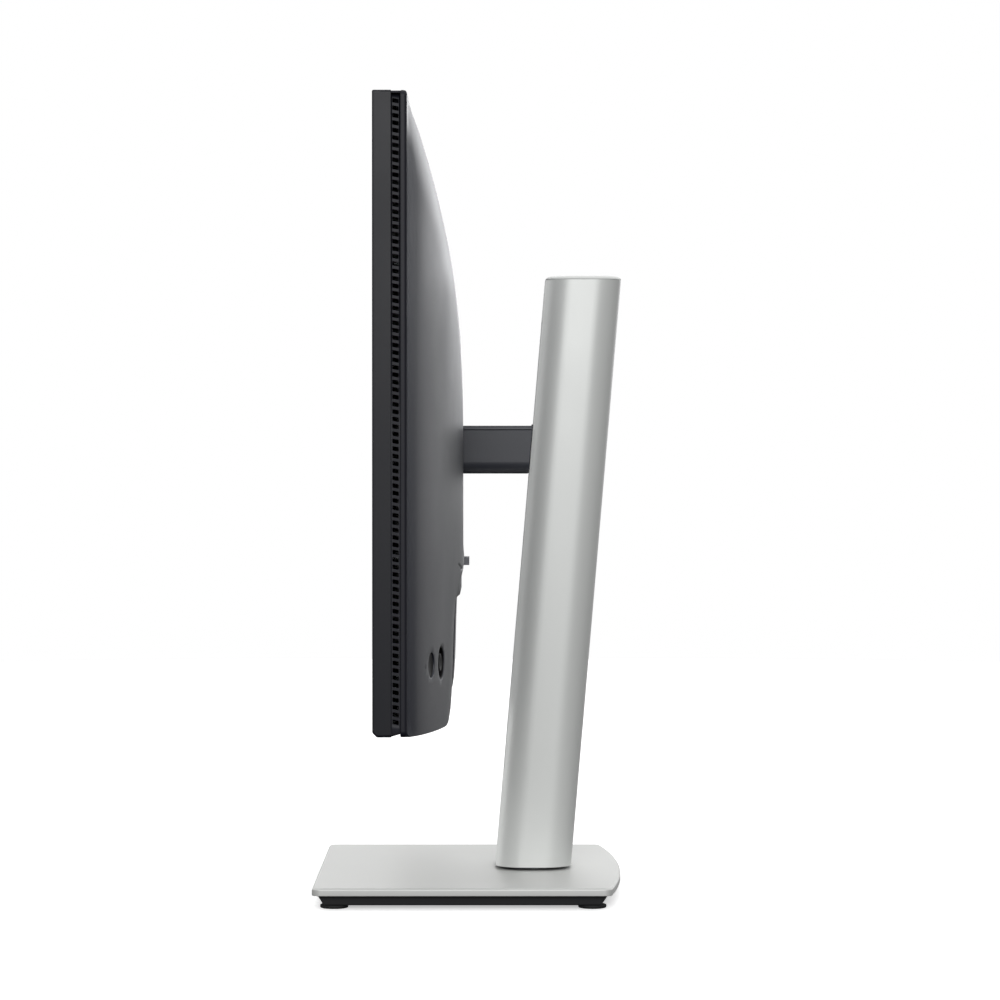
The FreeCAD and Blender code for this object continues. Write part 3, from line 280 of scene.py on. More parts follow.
def surface(name, colour, roughness, metallic=0, grain=2200, bump=0.05, tint=0.06, spread=0.06,
            specular=0.5):
    """A finish with fine grain in its bump and slow changes in its colour and roughness."""
    look = bpy.data.materials.new(name)
    look.use_nodes = True
    tree = look.node_tree
    nodes, links = tree.nodes, tree.links
    shader = nodes["Principled BSDF"]
    shader.inputs["Metallic"].default_value = metallic
    shader.inputs["Specular IOR Level"].default_value = specular
    where = nodes.new("ShaderNodeTexCoord")

    def noise(scale, detail):
        node = nodes.new("ShaderNodeTexNoise")
        node.inputs["Scale"].default_value = scale
        node.inputs["Detail"].default_value = detail
        links.new(where.outputs["Object"], node.inputs["Vector"])
        return node.outputs["Fac"]

    def ranged(fac, low, high):
        node = nodes.new("ShaderNodeMapRange")
        node.inputs["To Min"].default_value = low
        node.inputs["To Max"].default_value = high
        links.new(fac, node.inputs["Value"])
        return node.outputs["Result"]

    fine = noise(grain, 4)
    slow = noise(18, 3)
    mix = nodes.new("ShaderNodeMix")
    mix.data_type = "RGBA"
    base = linear(*colour)
    mix.inputs["A"].default_value = tuple(c * (1 - tint) for c in base[:3]) + (1,)
    mix.inputs["B"].default_value = tuple(min(1, c * (1 + tint)) for c in base[:3]) + (1,)
    both = nodes.new("ShaderNodeMath")
    both.operation = "MULTIPLY_ADD"
    links.new(fine, both.inputs[0])
    both.inputs[1].default_value = 0.5
    halved = nodes.new("ShaderNodeMath")
    halved.operation = "MULTIPLY"
    halved.inputs[1].default_value = 0.5
    links.new(slow, halved.inputs[0])
    links.new(halved.outputs[0], both.inputs[2])
    links.new(both.outputs[0], mix.inputs["Factor"])
    links.new(mix.outputs["Result"], shader.inputs["Base Color"])
    links.new(ranged(slow, roughness - spread, roughness + spread), shader.inputs["Roughness"])
    dent = nodes.new("ShaderNodeBump")
    dent.inputs["Strength"].default_value = bump
    dent.inputs["Distance"].default_value = 0.0002
    links.new(fine, dent.inputs["Height"])
    links.new(dent.outputs["Normal"], shader.inputs["Normal"])
    return look


DARK = surface("bezel_plastic", (18, 19, 26), 0.42, grain=3200, bump=0.10, specular=0.26)
VENT = surface("vent_plastic", (23, 24, 32), 0.48, grain=3200, bump=0.10, specular=0.26)
REAR = surface("cover_plastic", (31, 33, 43), 0.46, grain=2600, bump=0.16)
ARM = surface("arm_plastic", (57, 59, 66), 0.44, grain=2600, bump=0.14)
SILVER = surface("column_paint", (218, 220, 218), 0.45, metallic=0.25, grain=3600, bump=0.05,
                 tint=0.03)
PLATE = surface("base_paint", (210, 211, 209), 0.46, metallic=0.25, grain=3600, bump=0.05,
                tint=0.03)
BLACK = surface("underside_plastic", (64, 64, 66), 0.5, grain=2400, bump=0.15)
RUBBER = surface("foot_rubber", (24, 24, 26), 0.75, grain=1800, bump=0.3)
KEY = surface("key_plastic", (12, 12, 14), 0.5, grain=3000, bump=0.08, specular=0.12)
STEEL = surface("zinc_steel", (150, 152, 154), 0.36, metallic=0.9, grain=1400, bump=0.12,
                tint=0.1, spread=0.1)
SCREEN = surface("screen_film", (9, 9, 11), 0.28, grain=5200, bump=0.12, tint=0.05)
BOARD = surface("circuit_board", (22, 66, 44), 0.4, grain=900, bump=0.2, tint=0.2)
BRASS = surface("brass", (176, 146, 84), 0.3, metallic=1, grain=1500, bump=0.1)
NYLON = surface("nylon", (214, 214, 208), 0.5, grain=2000, bump=0.1)
LABEL = surface("label_foil", (186, 188, 190), 0.35, grain=1200, bump=0.05)
FILM = surface("optical_film", (232, 233, 235), 0.3, grain=1500, bump=0.05)
PORT = surface("port_shell", (138, 140, 143), 0.32, metallic=0.9, grain=1800, bump=0.08)
CAST = surface("bare_iron", (66, 68, 70), 0.55, metallic=0.6, grain=500, bump=0.4, tint=0.15)
INLET = surface("socket_plastic", (22, 22, 24), 0.4, grain=2600, bump=0.1)
LENS = surface("lamp_lens", (26, 27, 32), 0.4, grain=1500, bump=0.03, specular=0.2)
TAB = surface("release_plastic", (118, 119, 125), 0.45, grain=2600, bump=0.12)

CAD_LOOKS = {
    SCREEN: ["lcd_panel"],
    STEEL: ["panel_chassis", "main_bracket", "head_screws", "shield_can", "io_plate",
            "lock_slot_insert", "release_latch", "release_spring", "quick_release_plate",
            "pivot_rivet", "tilt_bracket", "tilt_pin", "arm_bracket", "column_rail",
            "spring_strips", "spring_drums", "swivel_hub", "swivel_retainer",
            "captive_screw", "screw_bail"],
    FILM: ["optical_sheets", "light_guide", "led_bar"],
    BOARD: ["panel_driver_board", "main_board", "power_board", "key_board"],
    BRASS: ["vesa_inserts"],
    INLET: ["power_components", "ac_inlet"],
    PORT: ["hdmi_port", "displayport_port", "vga_port", "usb_b_port", "usb_a_ports"],
    LABEL: ["rating_label"],
    TAB: ["release_button"],
    NYLON: ["joystick_gimbal", "joystick_plunger", "pivot_washer", "tilt_washers",
            "carriage_glides", "swivel_washer"],
    CAST: ["carriage", "base_weight"],
}


def dress_cad_nodes():
    """Gives every carried-over CAD node its finish and a small bevel on its sharp edges."""
    for look, names in CAD_LOOKS.items():
        for name in names:
            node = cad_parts[name]
            node.data.materials.clear()
            node.data.materials.append(look)
            bevel = node.modifiers.new("soft edges", "BEVEL")
            bevel.width = 0.15 * MM
            bevel.segments = 2
            bevel.limit_method = "ANGLE"
            bevel.angle_limit = math.radians(40)
            bevel.use_clamp_overlap = True


# ---- head: bezel and screen ----------------------------------------------------------------

def head_ring(depth, inset, bottom=None, radius=1.6, steps=3, top=None):
    """A loop round the head at a depth, inset from its outline."""
    bottom = inset if bottom is None else bottom
    top = inset if top is None else top
    loop = rounded(HALF_W - inset, HEAD_LOW + bottom, HEAD_TOP - top,
                   max(0.2, radius - inset), steps)
    return [(x, FRONT_Y + depth, z) for x, z in loop]


def front_bezel():
    deep = BEZEL_HIGH.y - BEZEL_LOW.y
    lip, chin, wall, face = 3.0, 12.0, 2.0, 1.5
    rings = [
        head_ring(face, lip, chin),
        head_ring(0.3, lip, chin),
        head_ring(0.0, lip - 0.3, chin - 0.3),
        head_ring(0.0, 0.7, 2.9),
        head_ring(0.12, 0.35, 2.55),
        head_ring(0.45, 0.1, 2.1),
        head_ring(0.9, 0.0, 1.6),
        head_ring(2.3, 0.0, 0.2),
        head_ring(2.8, 0.0, 0.0),
        head_ring(deep - 0.35, 0.0),
        head_ring(deep - 0.1, 0.1),
        head_ring(deep, 0.4),
        head_ring(deep, wall),
        head_ring(face, wall),
    ]
    mesh("front_bezel_shell", stack(rings, closed=True), "head", DARK,
         ["front_bezel"], crease=28)


# ---- head: ventilation frame ---------------------------------------------------------------

def perimeter(loop):
    """Running length of a closed loop, one value per point and the whole."""
    marks = [0]
    for a, b in zip(loop, loop[1:] + loop[:1]):
        marks.append(marks[-1] + math.dist(a, b))
    return marks


def along(loop, marks, s):
    """The point at a running length, and the outward direction there."""
    s = s % marks[-1]
    i = max(k for k in range(len(loop)) if marks[k] <= s + 1e-9)
    a, b = Vector(loop[i]), Vector(loop[(i + 1) % len(loop)])
    way = (b - a).normalized()
    return a + way * (s - marks[i]), Vector((way.y, -way.x))


def vent_frame():
    """The slotted frame: side and top walls with slanted slots that have real depth."""
    inset, pitch, slant = 0.4, 4.038, math.tan(math.radians(11))
    near_y, far_y = VENT_LOW.y + 0.02, VENT_HIGH.y - 0.02
    x, low, top = HALF_W - inset, HEAD_LOW + inset, HEAD_TOP - inset
    depth = far_y - near_y
    middle_z, thick = 295.5, 2.0

    def slot_outline(centre):
        """A parallelogram with rounded corners in (run, depth) about a centre."""
        half_u, half_v, r = 1.75, 1.22, 0.35
        return [(centre + v - slant * u, depth / 2 + u)
                for u, v in rounded(half_u, -half_v, half_v, r, 2)]

    def wall(length, place, centres):
        """One flat wall with slots; place(run, depth, inward) gives the point in space."""
        outline = [(0, 0), (length, 0), (length, depth), (0, depth)]
        holes = [slot_outline(c) for c in centres]
        parts = [punched(outline, holes, [], [], lambda s, u: place(s, u, 0), 0.1)]
        for hole in holes:
            rings = [[place(s, u, k) for s, u in hole] for k in (0, 0.15, thick)]
            parts.append(stack(rings))
        rings = [[place(s, u, k) for s, u in outline] for k in (0, thick)]
        parts.append(stack(rings))
        parts.append(punched(outline, holes, [], [], lambda s, u: place(s, u, thick), 0.1))
        return merged(*parts)

    corner = 1.6
    count = 85
    span_z = top - low - 2 * corner
    side_slots = [middle_z + (i - (count - 1) / 2) * pitch - low - corner for i in range(count)]
    parts = []
    for side in (1, -1):
        parts.append(wall(
            span_z, lambda s, u, k, side=side: (side * (x - k), near_y + u, low + corner + s),
            side_slots))
    across = 2 * (x - corner)
    top_count = 145
    top_slots = [across / 2 + (i - (top_count - 1) / 2) * pitch for i in range(top_count)]
    parts.append(wall(
        across, lambda s, u, k: (-x + corner + s, near_y + u, top - k), top_slots))
    drop = 0.42  # how much the bottom wall rises per millimetre of depth
    parts.append(wall(
        across, lambda s, u, k: (-x + corner + s, near_y + u, low + k + drop * u), []))
    for side in (1, -1):
        for level, turn in ((top - corner, 0), (low + corner, -90)):
            rings = []
            for u in (0, depth):
                arc = []
                for i in range(5):
                    a = math.radians(turn + 22.5 * i)
                    rise = drop * u * max(0, -math.sin(a)) if turn else 0
                    arc.append((side * (x - corner + corner * math.cos(a)), near_y + u,
                                level + corner * math.sin(a) + rise))
                for i in range(4, -1, -1):
                    a = math.radians(turn + 22.5 * i)
                    arc.append((side * (x - corner + 0.2 * math.cos(a)), near_y + u,
                                level + 0.2 * math.sin(a)))
                rings.append(arc)
            parts.append(stack(rings, True, True))
    mesh("vent_frame_slotted", merged(*parts), "head", VENT, ["vent_frame"],
         weighted=False)


# ---- head: back cover ----------------------------------------------------------------------

LIP_INSET, LIP_DEPTH = 2.0, 19.1
COVER_EDGE = 0.35  # rounding of the dome's lower edge


def side_profile(d):
    """Depth of the dome at a distance in from the side: steep at the lip, then ever flatter."""
    t = min(1, max(0, (d - 2) / 300))
    return LIP_DEPTH + 29 * (1 - (1 - t) ** 3) ** 0.7


TOP_PROFILE = softened(smooth_curve([
    (4, LIP_DEPTH), (20, 25.5), (50, 34), (80, 40.5), (120, 45.5), (200, 54), (350, 61.5),
]), 8, 14)
BOTTOM_PROFILE = smooth_curve([(0, 39.5), (1, 40.5), (66, 43.5), (110, 55), (350, 60)])
BAY_HALF, BAY_TOP, BAY_FLOOR, BAY_R, BAY_FILLET = 100, 182.5, 20, 3, 1.0
RECESS_HALF, RECESS_FLOOR = 60, 34
POWER_HOLE, STICK_HOLE, LAMP_HOLE = 7.0, 9.35, 1.25
HOOD_DEPTH, HOOD_LOW, HOOD_TOP, HOOD_HALF = 46.5, 186.0, 202.0, 128


def soft_low(a, b, blend):
    """The lower of two values with the corner between them rounded."""
    gap = max(0, blend - abs(a - b)) / blend
    return min(a, b) - gap * gap * blend / 4


def hood_top(x):
    """Height of the hood's upper edge, which rises towards both sides."""
    return HOOD_TOP + 0.1 * max(0, abs(x) - 95)


def cover_depth(x, z):
    """Depth of the back cover's outer skin behind the head's front plane."""
    side = side_profile(HALF_W - abs(x))
    top = TOP_PROFILE(HEAD_TOP - z)
    low = BOTTOM_PROFILE(z - HEAD_LOW)
    crown = soft_low(side, top, 5 + 11 * (1 - ease((top - 24) / 18)))
    level = soft_low(crown, low, 1.2)
    # the hood over the sockets stands out below the stand recess, under a slanting groove
    rim = hood_top(x)
    hood = ease((HOOD_HALF + 16 - abs(x)) / 30) * ease((z - HOOD_LOW) / 3.0)
    if z < rim:
        level += hood * max(0, min(HOOD_DEPTH, crown + 0.6) - level)
    groove = 1.4 * (1 - ease(abs(z - rim - 0.3) / 1.1))
    level -= groove * ease((HOOD_HALF + 22 - abs(x)) / 10)
    # the far half is a hair flatter
    level -= 1.1 * ease((20 - x) / 100) * ease((level - LIP_DEPTH) / 20)
    return min(48.15, max(level, LIP_DEPTH))


def on_cover(x, z, sink=0):
    return (x, FRONT_Y + cover_depth(x, z) - sink, z)


def bay_notch():
    """The connector bay's outline with its fillet, from lower left to lower right."""
    half, top, low = BAY_HALF + BAY_FILLET, BAY_TOP + BAY_FILLET, HEAD_LOW + COVER_EDGE
    arcs = []
    for side, start in ((-1, 180), (1, 90)):
        for i in range(7):
            a = math.radians(start - 15 * i)
            arcs.append((side * (half - BAY_R) + BAY_R * math.cos(a),
                         top - BAY_R + BAY_R * math.sin(a)))
    return [(-half, low)] + arcs + [(half, low)]


def cover_outline(notch):
    """The domed skin's flat outline, with the connector bay cut in from below."""
    whole = rounded(HALF_W - LIP_INSET, HEAD_LOW + COVER_EDGE, HEAD_TOP - LIP_INSET, 2.4, 4)
    outline = []
    for a, b in zip(whole, whole[1:] + whole[:1]):
        on_lower_edge = a[1] < HEAD_LOW + 3 and b[1] < HEAD_LOW + 3 and math.dist(a, b) > 300
        if on_lower_edge:
            outline += dense([a, notch[0]], 6) + dense(notch, 5) + dense([notch[-1], b], 6)
        else:
            outline += dense([a, b], 6)
    return outline


def recess_loop(out):
    half = RECESS_HALF + out
    return rounded(half, HINGE_Z - half, HINGE_Z + half, 7 + out, 6)


def release_loop(out):
    return rounded(10.35 + out, RELEASE.z - 2.85 - out, RELEASE.z + 2.85 + out, 1.2 + out, 3)


def control_hole(at, radius, count=40):
    return circle(at.x, at.z, radius, count)


def cover_skin(outline):
    """The domed skin with its holes, on a grid that is finer where the skin bends sharply."""
    holes = [recess_loop(1.0), release_loop(0.4), control_hole(POWER, POWER_HOLE + 0.3),
             control_hole(STICK, STICK_HOLE + 0.6), control_hole(LAMP, LAMP_HOLE, 24)]
    rows = [HEAD_LOW + v for v in (1.6, 2.2, 2.9, 3.6, 4.4, 5.3, 6.3, 7.4, 8.6, 10, 12, 15)]
    rows += frange(HEAD_LOW + 19, HEAD_TOP - 8, 4.2)
    rows += [HOOD_LOW + 0.6 * i for i in range(6)]
    rows += [HOOD_TOP + 0.55 * i for i in range(-2, 14)]
    rows += [HEAD_TOP - v for v in (7, 5.5, 4.2, 3)]
    return punched(outline, holes, frange(-302, 302, 4.4), rows, on_cover, 1.1)


def sunk(loop_at, steps):
    """Rings from the skin down into a hole: (how far out, how deep) for each."""
    return [[on_cover(x, z, sink) for x, z in loop_at(out)] for out, sink in steps]


def cover_rims():
    """The rounded rims and walls of the stand recess, the release slot and the controls."""
    recess = sunk(recess_loop, ((1.0, 0), (0.55, 0.12), (0.2, 0.5), (0.0, 1.0)))
    for out, depth in ((0, RECESS_FLOOR + 1.2), (-1.2, RECESS_FLOOR)):
        recess.append([(x, FRONT_Y + depth, z) for x, z in recess_loop(out)])
    parts = [stack(recess, cap_end=True)]
    parts.append(stack(sunk(release_loop, ((0.4, 0), (0.12, 0.12), (0.0, 0.4), (0.0, 6.0)))))
    for at, radius, fillet, down in ((POWER, POWER_HOLE, 0.3, 5), (STICK, STICK_HOLE, 0.6, 6)):
        parts.append(stack(sunk(
            lambda out: control_hole(at, radius + out),
            ((fillet, 0), (fillet * 0.3, fillet * 0.3), (0, fillet), (0, down)))))
    return parts


def cover_underside(outline):
    """Both halves of the underside, from the skin's lower edge forward to the lip."""
    parts = []
    low_edge = [p for p in outline
                if p[1] < HEAD_LOW + 3 and abs(p[0]) >= BAY_HALF + BAY_FILLET]
    for side in (1, -1):
        run = sorted({p for p in low_edge if side * p[0] > 0})
        rings = [[on_cover(x, z) for x, z in run]]
        for back, drop in ((0.3, COVER_EDGE * 0.75), (0.9, COVER_EDGE)):
            rings.append([(x, FRONT_Y + cover_depth(x, z) - back, z - drop) for x, z in run])
        rings.append([(x, FRONT_Y + 17.5, z - COVER_EDGE) for x, z in run])
        parts.append(([p for ring in rings for p in ring],
                      ring_faces(len(run), len(rings), closed_loop=False)))
    return parts


def connector_bay(notch):
    """The bay's fillet and walls, the socket window in its ceiling, and its back wall."""
    rings = []
    for out, sink in ((1.0, 0), (0.55, 0.15), (0.2, 0.5), (0.0, 1.1)):
        rings.append([(x, FRONT_Y + max(BAY_FLOOR, cover_depth(x, z) - sink), z)
                      for x, z in dense_notch(notch, out - BAY_FILLET)])
    window_row = len(rings)
    for depth in (42, 22.6, BAY_FLOOR):
        rings.append([(x, FRONT_Y + min(depth, cover_depth(x, z) - 1.1), z)
                      for x, z in dense_notch(notch, -BAY_FILLET)])
    count = len(rings[0])
    ceiling = [i for i, p in enumerate(rings[-1]) if p[2] > BAY_TOP - 0.01]
    first, last = ceiling[0] + 1, ceiling[-1] - 1
    faces = [f for f in ring_faces(count, len(rings), closed_loop=False)
             if not (f[0] // count == window_row and first <= f[0] % count < last)]
    near_row, far_row = rings[window_row], rings[window_row + 1]
    window = [near_row[first], near_row[last], far_row[last], far_row[first]]
    foot = [(x, y, HEAD_LOW + 0.4) for x, y, _ in (rings[-1][-1], rings[-1][0])]
    return [
        ([p for ring in rings for p in ring], faces),
        stack([window, [(x, y, z + 2.2) for x, y, z in window]]),
        (rings[-1] + foot, [tuple(range(count + 2))]),
    ]


def back_cover():
    """The lip round the outside, and the domed shell with its recess, bay and holes."""
    lip = [head_ring(depth, inset, radius=3.4, steps=4) for depth, inset in (
        (15.32, 2.2), (15.32, 0.5), (15.5, 0.15), (15.9, 0.0), (17.2, 0.0), (17.9, 0.12),
        (18.5, 0.45), (18.9, 1.0), (LIP_DEPTH, LIP_INSET))]
    mesh("back_cover_lip", stack(lip), "head", VENT, ["back_cover"], crease=38)
    notch = bay_notch()
    outline = cover_outline(notch)
    parts = [cover_skin(outline), *cover_rims(), *cover_underside(outline),
             *connector_bay(notch)]
    mesh("back_cover_shell", merged(*parts), "head", REAR, ["back_cover"],
         crease=38, weighted=False, weld=0.02)


def dense_notch(notch, out):
    """The bay's outline, moved in by a negative amount, with points every few millimetres."""
    moved = []
    for x, z in notch:
        corner_x, corner_z = BAY_HALF + BAY_FILLET - BAY_R, BAY_TOP + BAY_FILLET - BAY_R
        side = 1 if x > 0 else -1
        if z <= corner_z:
            moved.append((x + side * out, z))
        else:
            way = Vector((x - side * corner_x, z - corner_z))
            way = way.normalized() if abs(x) > corner_x else Vector((0, 1))
            moved.append((x + way.x * out, z + way.y * out))
    return dense(moved, 5) + [moved[-1]]


def frange(start, end, step):
    """Evenly spaced values from start to end, about a step apart."""
    count = int((end - start) / step)
    return [start + (end - start) * i / count for i in range(count + 1)]


# ---- controls ------------------------------------------------------------------------------

def tangent_frame(at):
    """A matrix at a place on the cover with its Z axis along the surface normal."""
    x, z, e = at.x, at.z, 2.0
    slope_x = (cover_depth(x + e, z) - cover_depth(x - e, z)) / (2 * e)
    slope_z = (cover_depth(x, z + e) - cover_depth(x, z - e)) / (2 * e)
    normal = Vector((-slope_x, 1, -slope_z)).normalized()
    side = Vector((0, 0, 1)).cross(normal).normalized()
    up = normal.cross(side)
    place = Matrix((side, up, normal)).transposed().to_4x4()
    place.translation = Vector(on_cover(x, z))
    return place


def turned(profile, place, sides=48, cap_start=True, cap_end=True):
    """A turned form: (radius, height) points swept round the place's Z axis."""
    rings = []
    for radius, height in profile:
        ring = []
        for i in range(sides):
            a = 2 * math.pi * i / sides
            ring.append(place @ Vector((radius * math.cos(a), radius * math.sin(a), height)))
        rings.append(ring)
    return stack(rings, cap_start, cap_end)


def controls():
    power = tangent_frame(POWER)
    mesh("power_button_cap", turned(
        [(6.8, -5.5), (6.8, -1.05), (6.7, -0.85), (6.4, -0.72), (5.6, -0.8), (3.5, -1.1),
         (1.2, -1.2)], power), "power_key", KEY, ["power_button"])
    lamp_place = tangent_frame(LAMP)
    mesh("power_lamp_window", turned(
        [(LAMP_HOLE, -3), (LAMP_HOLE, -0.12), (1.15, -0.03), (0.4, 0.0)], lamp_place, sides=24),
        "head", LENS, ["power_lamp_lens"])
    stick = tangent_frame(STICK)
    mesh("joystick_well_cup", turned(
        [(9.3, -6.2), (9.3, -0.6), (9.1, -0.35), (8.8, -0.35), (8.6, -0.6), (8.2, -4.6),
         (7.8, -5.2), (4.9, -5.4), (4.9, -6.2)], stick, cap_start=False, cap_end=False),
        "head", KEY, ["joystick_well"])
    mesh("joystick_knob", turned(
        [(1.6, -6.4), (1.6, -3.7), (3.4, -3.4), (4.9, -3.0), (5.3, -2.4), (5.35, -1.6),
         (5.1, -0.8), (4.5, -0.4), (3.8, -0.45), (2.4, -0.85), (0.9, -1.0)], stick),
        "stick", KEY, ["joystick_cap"])


# ---- arm -----------------------------------------------------------------------------------

ARM_LOW, ARM_HIGH = span("arm_lower_cover")[0], span("arm_upper_cover")[1]
COLUMN_HALF_X, COLUMN_HALF_Y, COLUMN_R = 32.0, 23.5, 17.0
FOOT_Z, CAP_Z = (corner.z for corner in span("column_shell"))
TOP_Z = span("column_cap")[1].z
# where the column's middle line would meet the desk
COLUMN_Y = (span("column_shell")[0].y + COLUMN_HALF_Y / math.cos(LEAN)
            - FOOT_Z * math.tan(LEAN))


def column_face_y(z, out=0):
    """Y of the column's front face at a height, moved forward by out."""
    return COLUMN_Y + z * math.tan(LEAN) - (COLUMN_HALF_Y + out) / math.cos(LEAN)


def arm():
    """Lid and trough of the arm; its end follows the column's lean."""
    half, front = ARM_HIGH.x, ARM_LOW.y
    seam = ARM_HIGH.z - 2.6

    def ring(loop, t, pull=0.0):
        """The section at a share t of the way back, pulled in towards the arm's middle."""
        cz = (ARM_LOW.z + ARM_HIGH.z) / 2
        out = []
        for x, z in loop:
            px = x - math.copysign(min(abs(x), pull), x)
            pz = z - math.copysign(min(abs(z - cz), pull), z - cz)
            end = column_face_y(pz, 0.25)
            out.append((px, front + (end - front) * t, pz))
        return out

    trough = rounded(half, ARM_LOW.z, seam - 0.15, [7.5, 0.3, 0.3, 7.5], 8)
    lid = rounded(half, seam + 0.05, ARM_HIGH.z, [0.3, 1.6, 1.6, 0.3], 4)
    length = column_face_y(HINGE_Z) - front
    for name, loop, node in (("arm_trough", trough, "arm_lower_cover"),
                             ("arm_lid", lid, "arm_upper_cover")):
        rings = [ring(loop, 0, 0.5), ring(loop, 0.1 / length, 0.15), ring(loop, 0.5 / length)]
        rings += [ring(loop, t) for t in (0.25, 0.5, 0.75)]
        rings += [ring(loop, 1 - 0.8 / length), ring(loop, 1 - 0.3 / length, 0.15),
                  ring(loop, 1 - 0.05 / length, 0.45), ring(loop, 1, 0.9)]
        mesh(name, stack(rings, True, True), "arm", ARM, [node])


# ---- column --------------------------------------------------------------------------------

def lean(x, v, w):
    """A point of the column's own frame (across, back, up the axis) in space."""
    return (x, COLUMN_Y + v * math.cos(LEAN) + w * math.sin(LEAN),
            w * math.cos(LEAN) - v * math.sin(LEAN))


def column():
    """The leaning tube with its arm slot and cable holes, and its cap."""
    loop = rounded(COLUMN_HALF_X, -COLUMN_HALF_Y, COLUMN_HALF_Y, COLUMN_R, 10)
    marks = perimeter(loop)
    total = marks[-1]
    wall = 2.5
    # distances up the axis: the sheet's two ends, and where its level cuts begin to bend the rows
    low_edge, top = 10, CAP_Z / math.cos(LEAN)
    low_bend, high_bend = 30, 358

    # running length starts at the lower right corner's arc; the front face is the -v side
    front_middle = total - (COLUMN_HALF_X - COLUMN_R)
    back_start = next(m for p, m in zip(loop, marks) if p[1] >= COLUMN_HALF_Y - 1e-6)
    back_middle = back_start + (COLUMN_HALF_X - COLUMN_R)
    # the unrolled sheet starts at the middle of the left side, away from every opening
    left_middle = next(m for p, m in zip(loop, marks) if p[0] <= 1e-6 - COLUMN_HALF_X)
    seam = total - left_middle - (COLUMN_HALF_Y - COLUMN_R)

    def lift_at(inward):
        def lift(s, w):
            point, out = along(loop, marks, s - seam)
            x, v = point - out * inward
            # both ends are cut level, so the rows near them bend to follow the cuts
            foot, head = (((z + v * math.sin(LEAN)) / math.cos(LEAN))
                          for z in (FOOT_Z, CAP_Z))
            if w < low_bend:
                w = foot + (w - low_edge) * (low_bend - foot) / (low_bend - low_edge)
            if w > high_bend:
                w = high_bend + (w - high_bend) * (head - high_bend) / (top - high_bend)
            return lean(x, v, w)
        return lift

    def slot_loop(middle, low, high, half, r=3.0, steps=5):
        return rounded(half, low, high, r, steps, middle=middle + seam)

    holes = [
        lambda o: slot_loop(front_middle - total, 172.7 - o, 354.7 + o, 15 + o, 3 + o),
        lambda o: slot_loop(front_middle - total, 66 - o, 106 + o, 15 + o, 8 + o),
        lambda o: slot_loop(back_middle, 66 - o, 106 + o, 15 + o, 8 + o),
    ]
    outline_s = sorted((m + seam) % total for m in marks[:-1])
    outline_s = [0] + [s for s in outline_s if 0.2 < s < total - 0.2] + [total]
    outline = [(s, low_edge) for s in outline_s] + [(s, top) for s in outline_s[::-1]]
    rows = [10.8, 12, 20, 30.5] + frange(40, top - 6, 8) + [top - 0.8]
    skin = punched(outline, [hole(0.8) for hole in holes], outline_s, rows, lift_at(0), 0.5)
    parts = [skin]
    for hole in holes:
        rings = []
        for out, sink in ((0.8, 0), (0.35, 0.12), (0.1, 0.4), (0, 0.9), (0, wall)):
            rings.append([lift_at(sink)(s, w) for s, w in hole(out)])
        parts.append(stack(rings))
    inner_rows = [12, 20, 30.5] + frange(50, top - 12, 20)
    inner = punched(outline, [hole(0) for hole in holes], outline_s, inner_rows,
                    lift_at(wall), 0.5)
    parts.append(inner)
    for w in (low_edge, top):
        parts.append(stack([[lift_at(k)(s, w) for s in outline_s] for k in (0, wall)]))
    mesh("column_shell_tube", merged(*parts), "column", SILVER,
         ["column_shell"], crease=40, weld=0.02, weighted=False)

    cap_loop = lambda o: rounded(COLUMN_HALF_X - o, -COLUMN_HALF_Y + o, COLUMN_HALF_Y - o,
                                 max(1, COLUMN_R - o), 10)
    rings = []
    for inset, z in ((0.7, CAP_Z + 0.04), (0.3, CAP_Z + 0.04), (0.08, CAP_Z + 0.2),
                     (0, CAP_Z + 0.45), (0.25, TOP_Z - 1.5), (0.7, TOP_Z - 1.0),
                     (1.4, TOP_Z - 0.52), (2.4, TOP_Z - 0.18), (3.5, TOP_Z - 0.04),
                     (4.8, TOP_Z), (9, TOP_Z)):
        rings.append([lean(x, v, (z + v * math.sin(LEAN)) / math.cos(LEAN))
                      for x, v in cap_loop(inset)])
    mesh("column_cap_lid", stack(rings, True, True), "column", SILVER,
         ["column_cap"])


# ---- base ----------------------------------------------------------------------------------

def base_loop(inset, z, corner=5.0):
    """The base's outline: straight front and sides, one wide arc behind, rounded corners."""
    low, high = span("base_top_plate")
    half, front = high.x, low.y
    bulge = 8.9
    corner_y = high.y - bulge
    radius = (half * half + bulge * bulge) / (2 * bulge) - inset
    centre_y = corner_y + bulge - radius - inset
    half -= inset
    front += inset
    r = max(0.6, corner - inset)
    points = []
    for i in range(7):
        a = math.radians(-90 + 15 * i)
        points.append((half - r + r * math.cos(a), front + r + r * math.sin(a)))
    # rear corner between the side and the arc
    reach = math.sqrt((radius - r) ** 2 - (half - r) ** 2)
    cx, cy = half - r, centre_y + reach
    end = math.degrees(math.atan2(reach, half - r))
    for i in range(9):
        a = math.radians(end * i / 8)
        points.append((cx + r * math.cos(a), cy + r * math.sin(a)))
    for i in range(1, 24):
        a = math.radians(end + (180 - 2 * end) * i / 24)
        points.append((radius * math.cos(a), centre_y + radius * math.sin(a)))
    for i in range(9):
        a = math.radians(180 - end + end * i / 8)
        points.append((-cx + r * math.cos(a), cy + r * math.sin(a)))
    for i in range(7):
        a = math.radians(180 + 15 * i)
        points.append((-half + r + r * math.cos(a), front + r + r * math.sin(a)))
    return [(x, y, z) for x, y in points]


